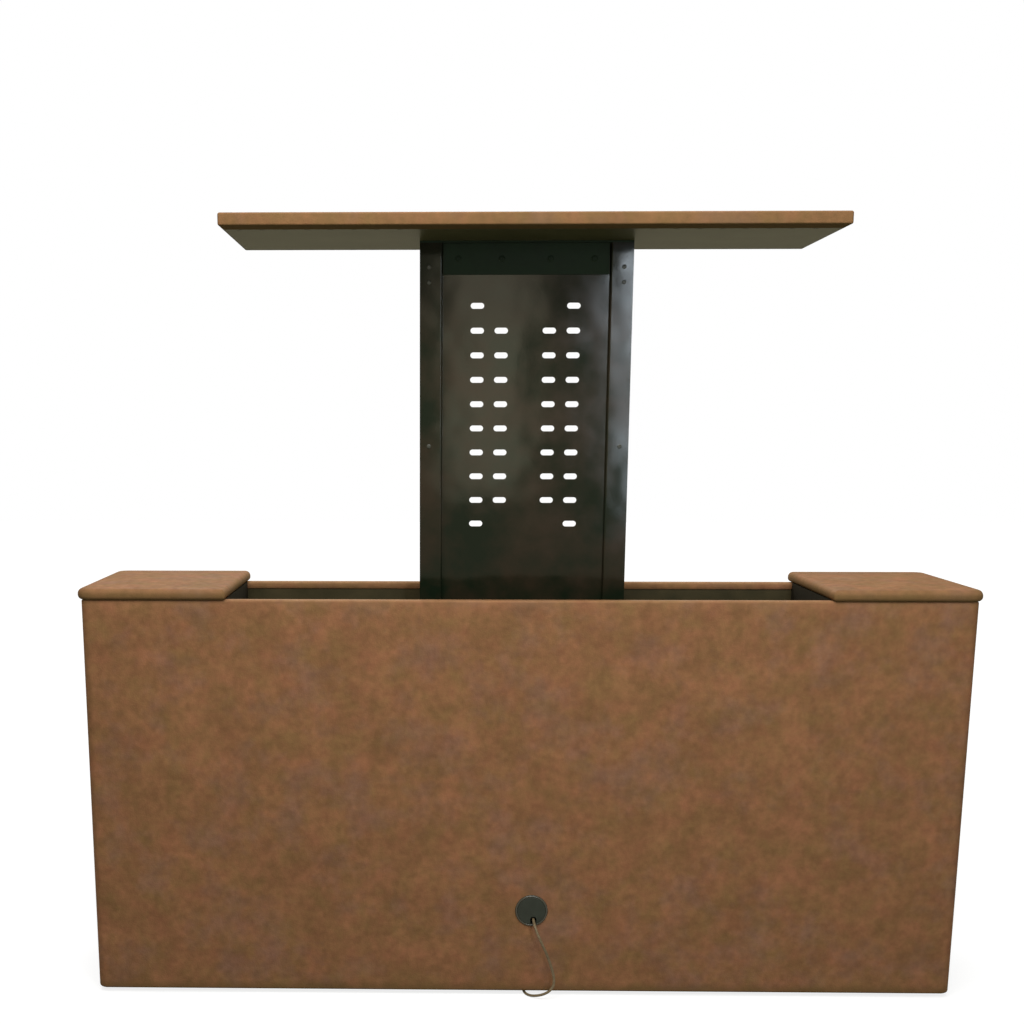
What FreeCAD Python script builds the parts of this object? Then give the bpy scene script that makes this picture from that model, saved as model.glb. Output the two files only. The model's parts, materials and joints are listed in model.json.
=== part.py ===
"""TV lift cabinet: a leather-wrapped chest whose lid and slotted TV pan rise on a two-stage lift.

Frame: X right along the cabinet, Y from the cable side to the opposite side, Z up.
The origin is on the floor, under the middle of the chest.  The lift stands raised.
"""
import FreeCAD
import Part
import math
import os
import re
import Sketcher
from FreeCAD import Placement, Rotation, Vector

# Driving sizes, in millimetres.
SIZES = {
    # chest
    "body_width": 1800.0,
    "body_depth": 345.0,
    "rim_height": 840.0,
    "glide_height": 11.0,
    "glide_radius": 14.0,
    "glide_inset": 42.0,
    "glide_share": 0.34,
    "glide_draft": 2.0,
    "leather": 3.0,
    "board": 19.0,
    "floor_board": 18.0,
    "partition_board": 18.0,
    "leather_turn_in": 15.0,
    "corner_radius": 20.0,
    "rail_timber": 70.0,
    "block_leg": 40.0,
    "block_height": 60.0,
    "timber_deep": 18.0,
    # end caps and lid
    "opening_width": 1210.0,
    "cap_thickness": 25.0,
    "cap_overhang": 7.0,
    "cap_corner": 28.0,
    "inner_corner": 5.0,
    "cap_top_round": 11.0,
    "cap_base_round": 4.0,
    "lid_top_round": 4.0,
    "lid_base_round": 7.0,
    "leather_border": 20.0,
    "partition_setback": 3.0,
    "lid_gap": 5.0,
    "lid_seat_gap": 1.0,
    "lid_raised": 1556.0,
    "cap_bracket_leg": 34.0,
    "cap_bracket_wide": 30.0,
    "cap_bracket_steel": 2.5,
    # slotted pan and carriage
    "lift_deep": 94.0,
    "pan_width": 439.0,
    "pan_recess": 13.0,
    "pan_steel": 2.0,
    "pan_bend": 1.5,
    "strip_width": 44.5,
    "strip_overhang": 0.5,
    "carriage_foot_gap": 24.0,
    "slot_long": 28.0,
    "slot_wide": 12.0,
    "slot_pitch": 50.0,
    "slot_outer": 100.0,
    "slot_inner": 50.0,
    "slot_drop": 349.0,
    "slot_rows_outer": 10,
    "slot_rows_inner": 8,
    "bracket_steel": 4.0,
    "bracket_leg": 62.0,
    "bracket_leg_steel": 3.0,
    "bracket_reach": 106.0,
    "bracket_side_gap": 2.0,
    "bracket_corner": 10.0,
    "foot_bar_high": 40.0,
    "foot_bar_thick": 4.0,
    "bar_above": 4.0,
    # telescoping channels
    "channel_width": 42.0,
    "channel_wall": 2.5,
    "channel_mouth": 23.0,
    "channel_round": 2.0,
    "carriage_channel_depth": 30.0,
    "column_channel_depth": 38.0,
    "column_drop": 40.0,
    "rail_head_wide": 31.0,
    "rail_head_thick": 6.0,
    "rail_web": 6.0,
    "rail_round": 1.2,
    "rail_setback": 14.0,
    "rail_depth": 66.0,
    "rail_foot_gap": 3.5,
    "rail_head_room": 16.5,
    "slide_gap": 0.3,
    "pad_fit": 0.2,
    "slide_pad_long": 70.0,
    "slide_pad_step": 254.0,
    "column_pad_step": 166.0,
    "yoke_setback": 18.5,
    "yoke_thick": 5.0,
    "yoke_high": 26.0,
    "yoke_drop": 77.0,
    "yoke_clear": 10.5,
    "yoke_bore_wall": 4.0,
    "mid_bar_high": 40.0,
    # fixed frame
    "base_steel": 4.0,
    "base_half_width": 240.0,
    "base_ahead": 6.0,
    "base_behind": 2.0,
    "frame_bar_high": 40.0,
    "frame_bar_thick": 4.0,
    "frame_bar_low": 75.0,
    "frame_bar_drop": 106.0,
    # lifting column
    "tube_setback": 66.0,
    "tube_outer_radius": 25.0,
    "tube_wall": 2.0,
    "tube_gap": 0.3,
    "tube_above": 2.0,
    "tube_foot_gap": 6.5,
    "tube_flange_radius": 32.0,
    "tube_flange_thick": 6.0,
    "collar_radius": 27.5,
    "collar_high": 14.0,
    "collar_fit": 0.3,
    "gearbox_high": 54.0,
    "gearbox_half_deep": 24.5,
    "gearbox_long": 134.0,
    "gearbox_left": 34.0,
    "gearbox_round": 8.0,
    "gearbox_seam": 1.5,
    "gearbox_seam_low": 30.0,
    "gearbox_seam_high": 5.0,
    "gearbox_rib": 3.0,
    "gearbox_rib_step": 13.0,
    "gearbox_ribs": 5,
    "motor_radius": 23.0,
    "motor_offset": 68.0,
    "motor_high": 118.0,
    "motor_cap_high": 10.0,
    "motor_cap_step": 2.0,
    "motor_foot_step": 3.5,
    "motor_foot_high": 4.0,
    "motor_band_high": 7.0,
    "motor_band_step": 1.0,
    "gland_radius": 6.5,
    "gland_high": 9.0,
    # how far a cutting tool runs past the face that it opens
    "run_past": 1.0,
    # fasteners
    "drill_gap": 0.1,
    "head_round": 0.6,
    "screw_head_radius": 4.5,
    "screw_head_high": 1.8,
    "screw_radius": 2.0,
    "strip_screw_inset": 19.0,
    "strip_screw_short": 0.3,
    "strip_screw_first": 48.0,
    "strip_screw_second": 78.5,
    "strip_screw_third": 411.5,
    "bolt_head_radius": 6.5,
    "bolt_head_high": 3.0,
    "bolt_radius": 3.0,
    "bracket_bolt_length": 12.0,
    "bracket_bolt_outer": 140.0,
    "bracket_bolt_inner": 50.0,
    "lid_screw_outer": 180.0,
    "lid_screw_inner": 100.0,
    "lid_screw_front": 38.0,
    "lid_screw_rear": 17.0,
    "tube_bolt_inset": 6.0,
    "base_screw_inset": 12.0,
    "lid_screw_length": 16.0,
    "frame_bolt_length": 22.0,
    "base_screw_length": 16.0,
    # electrics
    "box_aside": 50.0,
    "box_gap": 8.0,
    "box_long": 170.0,
    "box_deep": 96.0,
    "box_high": 46.0,
    "box_wall": 2.5,
    "box_round": 6.0,
    "box_fit": 0.2,
    "vent_long": 56.0,
    "vent_wide": 3.0,
    "vent_step": 9.0,
    "vent_count": 6,
    "vent_inset": 12.0,
    "circuit_gap": 4.0,
    "circuit_thick": 1.6,
    "socket_side": 24.0,
    "socket_up": 15.0,
    "motor_socket": 42.0,
    "motor_socket_side": 46.0,
    "supply_gap": 24.0,
    "supply_long": 120.0,
    "supply_deep": 62.0,
    "supply_high": 36.0,
    "lead_radius": 2.75,
    # cable grommet
    "grommet_x": 17.5,
    "grommet_z": 189.0,
    "grommet_flange_radius": 34.0,
    "grommet_bore_radius": 29.5,
    "grommet_sleeve_radius": 31.5,
    "grommet_flange_thick": 3.0,
    "grommet_rim_round": 1.8,
    "cap_rim_round": 0.9,
    "grommet_sleeve_long": 24.0,
    "cap_lip": 2.2,
    "cap_disc": 3.0,
    "cap_fit": 0.1,
    "cap_skirt": 12.0,
    "notch_radius": 6.5,
    "notch_x": 4.0,
    "notch_drop": 19.0,
    # supply cord
    "coil_aside": 40.0,
    "coil_behind": 72.0,
    "coil_radius": 31.0,
    "coil_wide": 11.0,
    "coil_high": 16.5,
    "coil_round": 4.0,
    "plug_long": 34.0,
    "plug_wide": 24.0,
    "plug_high": 18.0,
    "plug_round": 5.0,
    "blade_long": 16.0,
    "blade_high": 6.3,
    "blade_thick": 1.5,
    "blade_step": 12.7,
    "relief_long": 22.0,
    "relief_flare": 1.0,
    "plug_aside": 17.5,
}

# Places and sizes that follow from the driving ones.
PLACES = {
    "half_width": "body_width / 2",
    "half_depth": "body_depth / 2",
    "board_in": "half_depth - leather - board",
    "leather_in": "board_in - leather",
    "board_end": "half_width - leather - board",
    "floor_top": "glide_height + floor_board",
    "board_top": "rim_height - leather",
    "cap_depth": "body_depth + 2 * cap_overhang",
    "cap_length": "half_width + cap_overhang - opening_width / 2",
    "cap_middle": "opening_width / 2 + cap_length / 2",
    "partition_inner": "opening_width / 2 + partition_setback",
    "lid_width": "opening_width - 2 * lid_gap",
    "lift_travel": "lid_raised - rim_height - lid_seat_gap",
    "stage_travel": "lift_travel / 2",
    "frame_bottom": "floor_top + base_steel",
    "plate_bottom": "lid_raised - bracket_steel",
    "timber_front": "board_in - timber_deep",
    "column_rear": "timber_front - frame_bar_thick",
    "column_top": "rim_height - column_drop",
    "frame_bar_upper": "column_top - frame_bar_drop",
    "carriage_bottom": "frame_bottom + carriage_foot_gap + lift_travel",
    "carriage_length": "plate_bottom - carriage_bottom",
    "pan_front": "column_rear - lift_deep",
    "web_front": "pan_front + pan_recess",
    "web_half": "pan_width / 2 - strip_width",
    "strip_back": "pan_front + pan_steel",
    "strip_screw_length": "pan_steel + channel_wall - strip_screw_short",
    "strip_screw_side": "pan_width / 2 - strip_screw_inset",
    "leg_front": "web_front - bracket_leg_steel",
    "slot_reach": "slot_long - slot_wide",
    "slot_end_radius": "slot_wide / 2",
    "slot_far_outer": "slot_outer + slot_reach / 2",
    "slot_far_inner": "slot_inner + slot_reach / 2",
    "slot_middle": "plate_bottom - slot_drop",
    "slot_low_outer": "slot_middle - carriage_bottom - slot_pitch * (slot_rows_outer - 1) / 2",
    "slot_low_inner": "slot_middle - carriage_bottom - slot_pitch * (slot_rows_inner - 1) / 2",
    "channel_side": "pan_width / 2 - strip_overhang - channel_width / 2",
    "channel_inside": "channel_width - 2 * channel_wall",
    "rail_front": "pan_front + rail_setback",
    "rail_rear": "rail_front + rail_depth",
    "rail_bottom": "frame_bottom + rail_foot_gap + stage_travel",
    "rail_length": "plate_bottom - lift_travel - rail_head_room - frame_bottom - rail_foot_gap",
    "yoke_front": "rail_front + yoke_setback",
    "yoke_middle": "rail_bottom + rail_length - yoke_drop",
    "base_front": "pan_front - base_ahead",
    "base_rear": "column_rear + base_behind",
    "tube_middle": "pan_front + tube_setback",
    "tube_mid_radius": "tube_outer_radius - tube_wall - tube_gap",
    "tube_inner_radius": "tube_mid_radius - tube_wall - tube_gap",
    "gearbox_top": "frame_bottom + gearbox_high",
    "tube_outer_top": "yoke_middle - yoke_high / 2 - stage_travel - yoke_clear",
    "tube_mid_top": "yoke_middle + yoke_high / 2 + tube_above",
    "tube_mid_length": "tube_mid_top - stage_travel - gearbox_top - tube_foot_gap",
    "tube_inner_length": "plate_bottom - lift_travel - gearbox_top - tube_foot_gap",
    "box_left": "base_half_width + box_aside",
    "box_front": "timber_front - box_gap - box_deep",
    "cap_radius": "grommet_bore_radius - cap_fit",
    "exit_x": "grommet_x + notch_x",
    "exit_z": "grommet_z - notch_drop",
    "coil_x": "exit_x - coil_aside",
    "coil_y": "half_depth + coil_behind",
}

# Cable routes, each as the corners of its straight runs.
# From the motor's end cap over and down behind the frame, in millimetres from that cap:
MOTOR_LOOP = ((0, 0, 0), (0, 0, 25), (5, 3, 47), (18, 10, 61), (36, 21, 57), (50, 31, 35), (60, 38, 3),
              (70, 42, -35), (84, 43.5, -69))
# On along the lower timber rail to the control box, from the box's left side, the rail's face and its top:
MOTOR_SHELF = ((-114, 11.5, 9), (-82, 11, 0), (-42, 10.5, 0), (-6, 7, 1), (21, -3, 6), (37, -20, 6),
               (42, -37, -1), (42, -46, -20))
# Down inside the near board, from the grommet's notch:
MAINS_DROP = ((0, 0, 0), (0, 20, 0), (0.5, 37, -5), (3, 49, -18), (8, 54, -37), (15, 55, -61), (24, 57, -87))
# On along the floor board, from the notch in plan and from the floor board's top:
MAINS_RUN = ((38, 62, 28), (60, 71, 11), (90, 84, 2.4), (128, 101, 0.1), (166, 124, 0.2), (198, 156, 0.8))
# Up to the socket in the control box, from that socket:
MAINS_RISE = ((-50, -46, -11), (-36, -17, -5), (-20, 0, 0), (0, 0, 0))
# The free cord down the near side: across and out in millimetres, height as a share of the notch's height:
CORD_HANG = ((0, 0, 1), (0, -13, 1), (1.5, -24.5, 0.972), (5, -33, 0.915), (10.5, -37, 0.845),
             (16.5, -36.5, 0.765), (23, -32.5, 0.675), (29.5, -27.5, 0.58), (35.5, -24, 0.475),
             (41, -22, 0.37), (44.5, -22, 0.27), (43, -24, 0.185), (34.5, -25.5, 0.12), (21, -23.5, 0.072),
             (6, -17, 0.038), (-7, -7, 0.019))
# The free cord under the chest: across in millimetres, its way from the near side to the coil as a share:
CORD_FLOOR = ((-15, 0.016), (-18, 0.068), (-15, 0.15), (-8, 0.262), (-6, 0.395), (-13, 0.53), (-22, 0.658),
              (-20, 0.775), (-12.5, 0.874), (-9, 0.956))
# Parts on the circuit board: place from the board's corner, then length, depth and height:
CIRCUIT_BLOCKS = ((12, 10, 42, 34, 24), (12, 54, 28, 18, 15), (66, 12, 34, 20, 10), (68, 44, 20, 20, 3),
                  (112, 10, 18, 28, 16), (112, 50, 24, 22, 12))

PIECES = []
doc = FreeCAD.newDocument("TvLiftCabinet")
sheet = doc.addObject("Spreadsheet::Sheet", "Sizes")


def fill_sheet():
    """Write the driving sizes as plain numbers and the places as formulas, one alias to a row."""
    row = 0
    for name, number in SIZES.items():
        row += 1
        sheet.set("A%d" % row, str(number))
        sheet.setAlias("A%d" % row, name)
    for name, formula in PLACES.items():
        row += 1
        sheet.set("A%d" % row, "=" + formula)
        sheet.setAlias("A%d" % row, name)
    doc.recompute()


fill_sheet()
NAMES = set(SIZES) | set(PLACES)


def of(name):
    """The number that the sheet holds under a name."""
    return float(sheet.get(name))


def rule(formula):
    """Point each size word of a formula at its cell in the sheet."""
    return re.sub(r"[a-z_0-9]*[a-z_][a-z_0-9]*",
                  lambda word: "Sizes." + word.group() if word.group() in NAMES else word.group(), formula)


def bind(item, **formulas):
    for name, formula in formulas.items():
        item.setExpression(name, rule(formula))
    return item


def put(item, x="0", y="0", z="0", turn=None):
    """Place an object by formulas, after an optional turn."""
    if turn is not None:
        item.Placement = Placement(Vector(), turn)
    for letter, formula in (("x", x), ("y", y), ("z", z)):
        item.setExpression("Placement.Base." + letter, rule(formula))
    return item


def piece(item, name):
    """Name an object as one of the parts that are kept."""
    item.Label = name
    PIECES.append(item)
    return item


ALONG_Y = Rotation(Vector(1, 0, 0), -90)
ALONG_X = Rotation(Vector(0, 1, 0), 90)
HALF_TURN = Rotation(Vector(0, 0, 1), 180)


def box(name, x, y, z, long, deep, high):
    item = doc.addObject("Part::Box", name)
    bind(item, Length=long, Width=deep, Height=high)
    return put(item, x, y, z)


def rod(name, radius, high, x, y, z, turn=None):
    item = doc.addObject("Part::Cylinder", name)
    bind(item, Radius=radius, Height=high)
    return put(item, x, y, z, turn)


def cut(name, base, tool):
    item = doc.addObject("Part::Cut", name)
    item.Base = base
    item.Tool = tool
    return item


def joined(name, items):
    item = doc.addObject("Part::MultiFuse", name)
    item.Shapes = items
    return item


def group(name, items):
    item = doc.addObject("Part::Compound", name)
    item.Links = items
    return item


def solid(name, shape):
    """An object whose shape is worked out here from numbers of the sheet."""
    item = doc.addObject("Part::Feature", name)
    item.Shape = shape
    item.Placement = Placement()
    return item


# ---------------------------------------------------------------- sketches and bodies

def plane_of(body, role):
    return [item for item in body.Origin.OriginFeatures if item.Role == role][0]


def sketch_on(body, name, role):
    sketch = body.newObject("Sketcher::SketchObject", name)
    sketch.AttachmentSupport = [(plane_of(body, role), "")]
    sketch.MapMode = "FlatFace"
    return sketch


def measure(sketch, name, formula, *constraint):
    """Add a constraint whose value a formula of the sheet gives."""
    index = sketch.addConstraint(Sketcher.Constraint(*constraint))
    sketch.renameConstraint(index, name)
    sketch.setExpression("Constraints." + name, rule(formula))


def rectangle(sketch, tag, wide, deep, low="0", left=None, mirrored=False):
    """Draw a rectangle: centred on the upright axis, or from a left edge on either side of it."""
    side = -1 if mirrored else 1
    first = len(sketch.Geometry)
    near, far = (-5, 5) if left is None else (2, 12)
    corners = [Vector(side * near, 2), Vector(side * far, 2), Vector(side * far, 9), Vector(side * near, 9)]
    for start, end in zip(corners, corners[1:] + corners[:1]):
        sketch.addGeometry(Part.LineSegment(start, end), False)
    lines = [first, first + 1, first + 2, first + 3]
    for one, other in zip(lines, lines[1:] + lines[:1]):
        sketch.addConstraint(Sketcher.Constraint("Coincident", one, 2, other, 1))
    ways = ("Horizontal", "Vertical", "Horizontal", "Vertical")
    for line, way in list(zip(lines, ways))[1 if left is None else 0:]:
        sketch.addConstraint(Sketcher.Constraint(way, line))
    ends = (2, 1) if mirrored else (1, 2)
    measure(sketch, tag + "_wide", wide, "DistanceX", first, ends[0], first, ends[1], 10.0)
    measure(sketch, tag + "_deep", deep, "DistanceY", first + 1, 1, first + 1, 2, 7.0)
    if low == "0":
        sketch.addConstraint(Sketcher.Constraint("PointOnObject", first, 1, -1))
    else:
        measure(sketch, tag + "_low", low, "DistanceY", -1, 1, first, 1, 2.0)
    if left is None:
        sketch.addConstraint(Sketcher.Constraint("Symmetric", first, 1, first, 2, -2))
    elif mirrored:
        measure(sketch, tag + "_left", left, "DistanceX", first, 1, -1, 1, 2.0)
    else:
        measure(sketch, tag + "_left", left, "DistanceX", -1, 1, first, 1, 2.0)


def slot_outline(sketch, tag, side, far, up, reach, radius):
    """Draw a round-ended slot lying along the sketch; its far arc's centre is at far, on one side."""
    first = len(sketch.Geometry)
    size, level = of(radius), of(up)
    ends = sorted((side * of(far), side * (of(far) - of(reach))))
    quarter = math.pi / 2
    circle = Part.Circle(Vector(ends[1], level), Vector(0, 0, 1), size)
    sketch.addGeometry(Part.ArcOfCircle(circle, -quarter, quarter), False)
    circle = Part.Circle(Vector(ends[0], level), Vector(0, 0, 1), size)
    sketch.addGeometry(Part.ArcOfCircle(circle, quarter, 3 * quarter), False)
    sketch.addGeometry(Part.LineSegment(Vector(ends[1], level + size), Vector(ends[0], level + size)), False)
    sketch.addGeometry(Part.LineSegment(Vector(ends[0], level - size), Vector(ends[1], level - size)), False)
    right, left, top, base = first, first + 1, first + 2, first + 3
    for one, other in ((right, top), (top, left), (left, base), (base, right)):
        sketch.addConstraint(Sketcher.Constraint("Tangent", one, 2, other, 1))
    sketch.addConstraint(Sketcher.Constraint("Horizontal", top))
    measure(sketch, tag + "_radius", radius, "Radius", right, size)
    measure(sketch, tag + "_reach", reach, "DistanceX", left, 3, right, 3, of(reach))
    measure(sketch, tag + "_up", up, "DistanceY", -1, 1, right, 3, level)
    if side > 0:
        measure(sketch, tag + "_far", far, "DistanceX", -1, 1, right, 3, of(far))
    else:
        measure(sketch, tag + "_far", far, "DistanceX", left, 3, -1, 1, of(far))


def pad(body, sketch, name, length):
    feature = body.newObject("PartDesign::Pad", name)
    feature.Profile = sketch
    bind(feature, Length=length)
    return feature


def pocket_through(body, sketch, name):
    """Cut a sketch right through the body, both ways from its plane."""
    feature = body.newObject("PartDesign::Pocket", name)
    feature.Profile = sketch
    feature.Type = "ThroughAll"
    feature.SideType = "Symmetric"
    return feature


def section_body(name, outline, hollows, length):
    """A straight length of one section, standing on its own XY plane."""
    body = doc.addObject("PartDesign::Body", name)
    sketch = sketch_on(body, name + "Outline", "XY_Plane")
    rectangle(sketch, "outline", **outline)
    pad(body, sketch, name + "Length", length)
    sketch = sketch_on(body, name + "Hollow", "XY_Plane")
    for number, hollow in enumerate(hollows):
        rectangle(sketch, "hollow%d" % number, **hollow)
    doc.recompute()
    pocket_through(body, sketch, name + "Cut")
    return body


def edges_where(shape, test):
    """Names of the edges whose two ends pass a test."""
    found = []
    for number, edge in enumerate(shape.Edges, 1):
        if all(test(vertex.Point) for vertex in edge.Vertexes):
            found.append("Edge%d" % number)
    return found


def upright_edges(shape, test):
    """Names of the edges along Z that pass a test on their foot."""
    found = []
    for number, edge in enumerate(shape.Edges, 1):
        first, last = edge.Vertexes[0].Point, edge.Vertexes[-1].Point
        if abs(first.x - last.x) + abs(first.y - last.y) < 0.001 and test(first):
            found.append("Edge%d" % number)
    return found


def eased(body, base, name, names, radius):
    feature = body.newObject("PartDesign::Fillet", name)
    feature.Base = (base, names)
    bind(feature, Radius=radius)
    doc.recompute()
    return feature


def slab(name, wide, deep, thick, corners, base=None, top=None):
    """A flat slab with rounded corners in plan, and its lower and upper edges rounded where asked.

    Each pair in corners is a formula for the radius and a test that picks the corner by its foot."""
    body = doc.addObject("PartDesign::Body", name)
    sketch = sketch_on(body, name + "Plan", "XY_Plane")
    rectangle(sketch, "plan", wide, deep)
    last = pad(body, sketch, name + "Thickness", thick)
    doc.recompute()
    for number, (radius, test) in enumerate(corners):
        last = eased(body, last, "%sCorner%d" % (name, number), upright_edges(last.Shape, test), radius)
    for tag, level, radius in (("Base", 0, base), ("Top", last.Shape.BoundBox.ZMax, top)):
        if radius is not None:
            names = edges_where(last.Shape, lambda point: abs(point.z - level) < 0.001)
            last = eased(body, last, name + tag, names, radius)
    return body


# ---------------------------------------------------------------- fasteners

def lathe(radius, high, head_radius, head_high, place, way):
    """A round-headed screw or bolt: its head's seat is at place, and its shank points along way."""
    shank = Part.makeCylinder(radius, high, place, way)
    head = Part.makeCylinder(head_radius, head_high, place, way * -1)
    rim = [edge for edge in head.Edges if abs((edge.CenterOfMass - place).dot(way)) > head_high / 2]
    rim = [edge for edge in rim if edge.Closed]
    head = head.makeFillet(head_high * of("head_round"), rim)
    return shank.fuse(head).removeSplitter()


def drills(radius, places, way, back, reach):
    """Cylinders that clear a group of fasteners, from behind their seat to past their point."""
    wide = radius + of("drill_gap")
    tools = [Part.makeCylinder(wide, back + reach, place - way * back, way) for place in places]
    return Part.makeCompound(tools)


def strip_screws():
    """Where the screws hold the pan's strips to the carriage channels, counted down from the lid."""
    side = of("strip_screw_side")
    drops = (of("strip_screw_first"), of("strip_screw_second"), of("strip_screw_third"))
    return [Vector(x, of("pan_front"), of("plate_bottom") - drop) for x in (-side, side) for drop in drops]


def bracket_bolts():
    """Where the bracket's leg is bolted through the pan's web."""
    outer, inner = of("bracket_bolt_outer"), of("bracket_bolt_inner")
    level = of("plate_bottom") - of("bracket_leg") / 2
    return [Vector(x, of("leg_front"), level) for x in (-outer, -inner, inner, outer)]


def lid_screws():
    """Where the lid is screwed down on the bracket's plate, from below: a front row and a rear row."""
    outer, inner = of("lid_screw_outer"), of("lid_screw_inner")
    front = of("pan_front") + of("lid_screw_front")
    rear = of("pan_front") + of("bracket_reach") - of("lid_screw_rear")
    places = [(x, rear) for x in (-outer, -inner, inner, outer)] + [(x, front) for x in (-inner, inner)]
    return [Vector(x, y, of("plate_bottom")) for x, y in places]


def tube_bolts():
    """Where the inner tube's flange is bolted up under the bracket's plate."""
    ring = of("tube_flange_radius") - of("tube_bolt_inset")
    low = of("plate_bottom") - of("tube_flange_thick")
    turns = [math.radians(30 + 120 * number) for number in range(3)]
    return [Vector(ring * math.cos(turn), of("tube_middle") + ring * math.sin(turn), low) for turn in turns]


def frame_bolts():
    """Where the fixed columns and their cross bars are bolted to the timber rails."""
    seat = of("column_rear") - of("channel_wall")
    side = of("channel_side")
    levels = (of("frame_bar_low"), of("frame_bar_upper"))
    return [Vector(x, seat, z) for x in (-side, side) for z in levels]


def base_screws():
    """Where the base plate is screwed to the floor board."""
    side = of("base_half_width") - of("base_screw_inset")
    rows = (of("base_front") + of("base_screw_inset"), of("base_rear") - of("base_screw_inset"))
    return [Vector(x, y, of("frame_bottom")) for x in (-side, side) for y in rows]


UP = Vector(0, 0, 1)
DOWN = Vector(0, 0, -1)
BACK = Vector(0, 1, 0)


def screw_group(name, places, way, radius, length, head_radius, head_high):
    shapes = [lathe(radius, length, head_radius, head_high, place, way) for place in places]
    return piece(solid(name, Part.makeCompound(shapes)), name)


def drilled(name, base, *sets):
    """Clear the shanks of several groups of fasteners in one piece."""
    tool = solid(name + "_drills", Part.makeCompound(list(sets)))
    return piece(cut(name + "_drilled", base, tool), name)


def make_fasteners():
    screw = (of("screw_radius"), of("screw_head_radius"), of("screw_head_high"))
    bolt = (of("bolt_radius"), of("bolt_head_radius"), of("bolt_head_high"))
    reach = of("tube_flange_thick") + of("bracket_steel") - of("run_past")
    screw_group("strip_screws", strip_screws(), BACK, screw[0], of("strip_screw_length"), screw[1], screw[2])
    screw_group("bracket_bolts", bracket_bolts(), BACK, bolt[0], of("bracket_bolt_length"), bolt[1], bolt[2])
    screw_group("lid_screws", lid_screws(), UP, screw[0], of("lid_screw_length"), screw[1], screw[2])
    screw_group("tube_bolts", tube_bolts(), UP, screw[0], reach, screw[1], screw[2])
    screw_group("frame_bolts", frame_bolts(), BACK, bolt[0], of("frame_bolt_length"), bolt[1], bolt[2])
    screw_group("base_screws", base_screws(), DOWN, screw[0], of("base_screw_length"), screw[1], screw[2])


# ---------------------------------------------------------------- chest

def make_long_board(name, y):
    """The near or far board, full length, with its outer upright corners rounded to suit the leather."""
    outer = slab(name + "_blank", "body_width - 2 * leather", "body_depth - 2 * leather",
                 "board_top - glide_height", [("corner_radius - leather", lambda foot: True)])
    put(outer, y="leather - half_depth", z="glide_height")
    strip = box(name + "_strip", "-half_width", y, "0", "body_width", "board", "rim_height")
    item = doc.addObject("Part::Common", name)
    item.Base = outer
    item.Tool = strip
    return item


def grommet_drill(name):
    """The hole for the grommet's sleeve, through the leather and the near board."""
    return rod(name, "grommet_sleeve_radius", "board + 2 * leather", "grommet_x", "-half_depth - leather",
               "grommet_z", ALONG_Y)


def make_chest_boards():
    hole = grommet_drill("near_drill")
    near = make_long_board("near_outline", "leather - half_depth")
    piece(cut("near_drilled", near, hole), "near_board")
    piece(make_long_board("far_outline", "board_in"), "far_board")
    for side, x in (("left", "-half_width + leather"), ("right", "board_end")):
        piece(box("end_" + side, x, "-board_in", "glide_height", "board", "2 * board_in",
                  "board_top - glide_height"), "end_board_" + side)
    floor = box("floor", "-board_end", "-board_in", "glide_height", "2 * board_end", "2 * board_in",
                "floor_board")
    drill = drills(of("screw_radius"), base_screws(), DOWN, of("run_past"), of("base_screw_length"))
    drilled("floor_board", floor, drill)


def make_partitions():
    """Upright boards that close the lift bay at each end, notched for the turned-in leather."""
    for side, x in (("left", "-partition_inner - partition_board"), ("right", "partition_inner")):
        blank = box("partition_blank_" + side, x, "-board_in", "floor_top", "partition_board", "2 * board_in",
                    "rim_height - floor_top")
        notches = []
        for edge, y in (("near", "-board_in"), ("far", "leather_in")):
            notches.append(box("notch_%s_%s" % (edge, side), x, y, "rim_height - leather_turn_in",
                               "partition_board", "leather", "leather_turn_in"))
        piece(cut("partition_cut_" + side, blank, joined("notches_" + side, notches)), "partition_" + side)


def make_timber():
    """Rails on the far board that carry the lift frame, and the blocks glued into the corners."""
    drill = drills(of("bolt_radius"), frame_bolts(), BACK, of("run_past"), of("frame_bolt_length"))
    for name, level in (("lift_rail_lower", "frame_bar_low"), ("lift_rail_upper", "frame_bar_upper")):
        timber = box(name + "_timber", "-partition_inner", "timber_front", level + " - rail_timber / 2",
                     "2 * partition_inner", "board_in - timber_front", "rail_timber")
        drilled(name, timber, drill)
    blocks = []
    for number, (sx, sy) in enumerate(((-1, -1), (1, -1), (1, 1), (-1, 1))):
        turn = Rotation(UP, 90 * number)
        body = doc.addObject("PartDesign::Body", "corner_block%d" % number)
        sketch = sketch_on(body, "corner_outline%d" % number, "XY_Plane")
        points = [Vector(0, 0), Vector(10, 0), Vector(0, 10)]
        for start, end in zip(points, points[1:] + points[:1]):
            sketch.addGeometry(Part.LineSegment(start, end), False)
        for one, other in ((0, 1), (1, 2), (2, 0)):
            sketch.addConstraint(Sketcher.Constraint("Coincident", one, 2, other, 1))
        sketch.addConstraint(Sketcher.Constraint("Coincident", 0, 1, -1, 1))
        sketch.addConstraint(Sketcher.Constraint("Horizontal", 0))
        sketch.addConstraint(Sketcher.Constraint("Vertical", 2))
        measure(sketch, "leg", "block_leg", "DistanceX", 0, 1, 0, 2, 10.0)
        measure(sketch, "rise", "block_leg", "DistanceY", 2, 2, 2, 1, 10.0)
        pad(body, sketch, "corner_length%d" % number, "block_height")
        put(body, "%d * board_end" % sx, "%d * board_in" % sy, "floor_top", turn)
        blocks.append(body)
    piece(group("corner_group", blocks), "corner_blocks")


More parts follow.
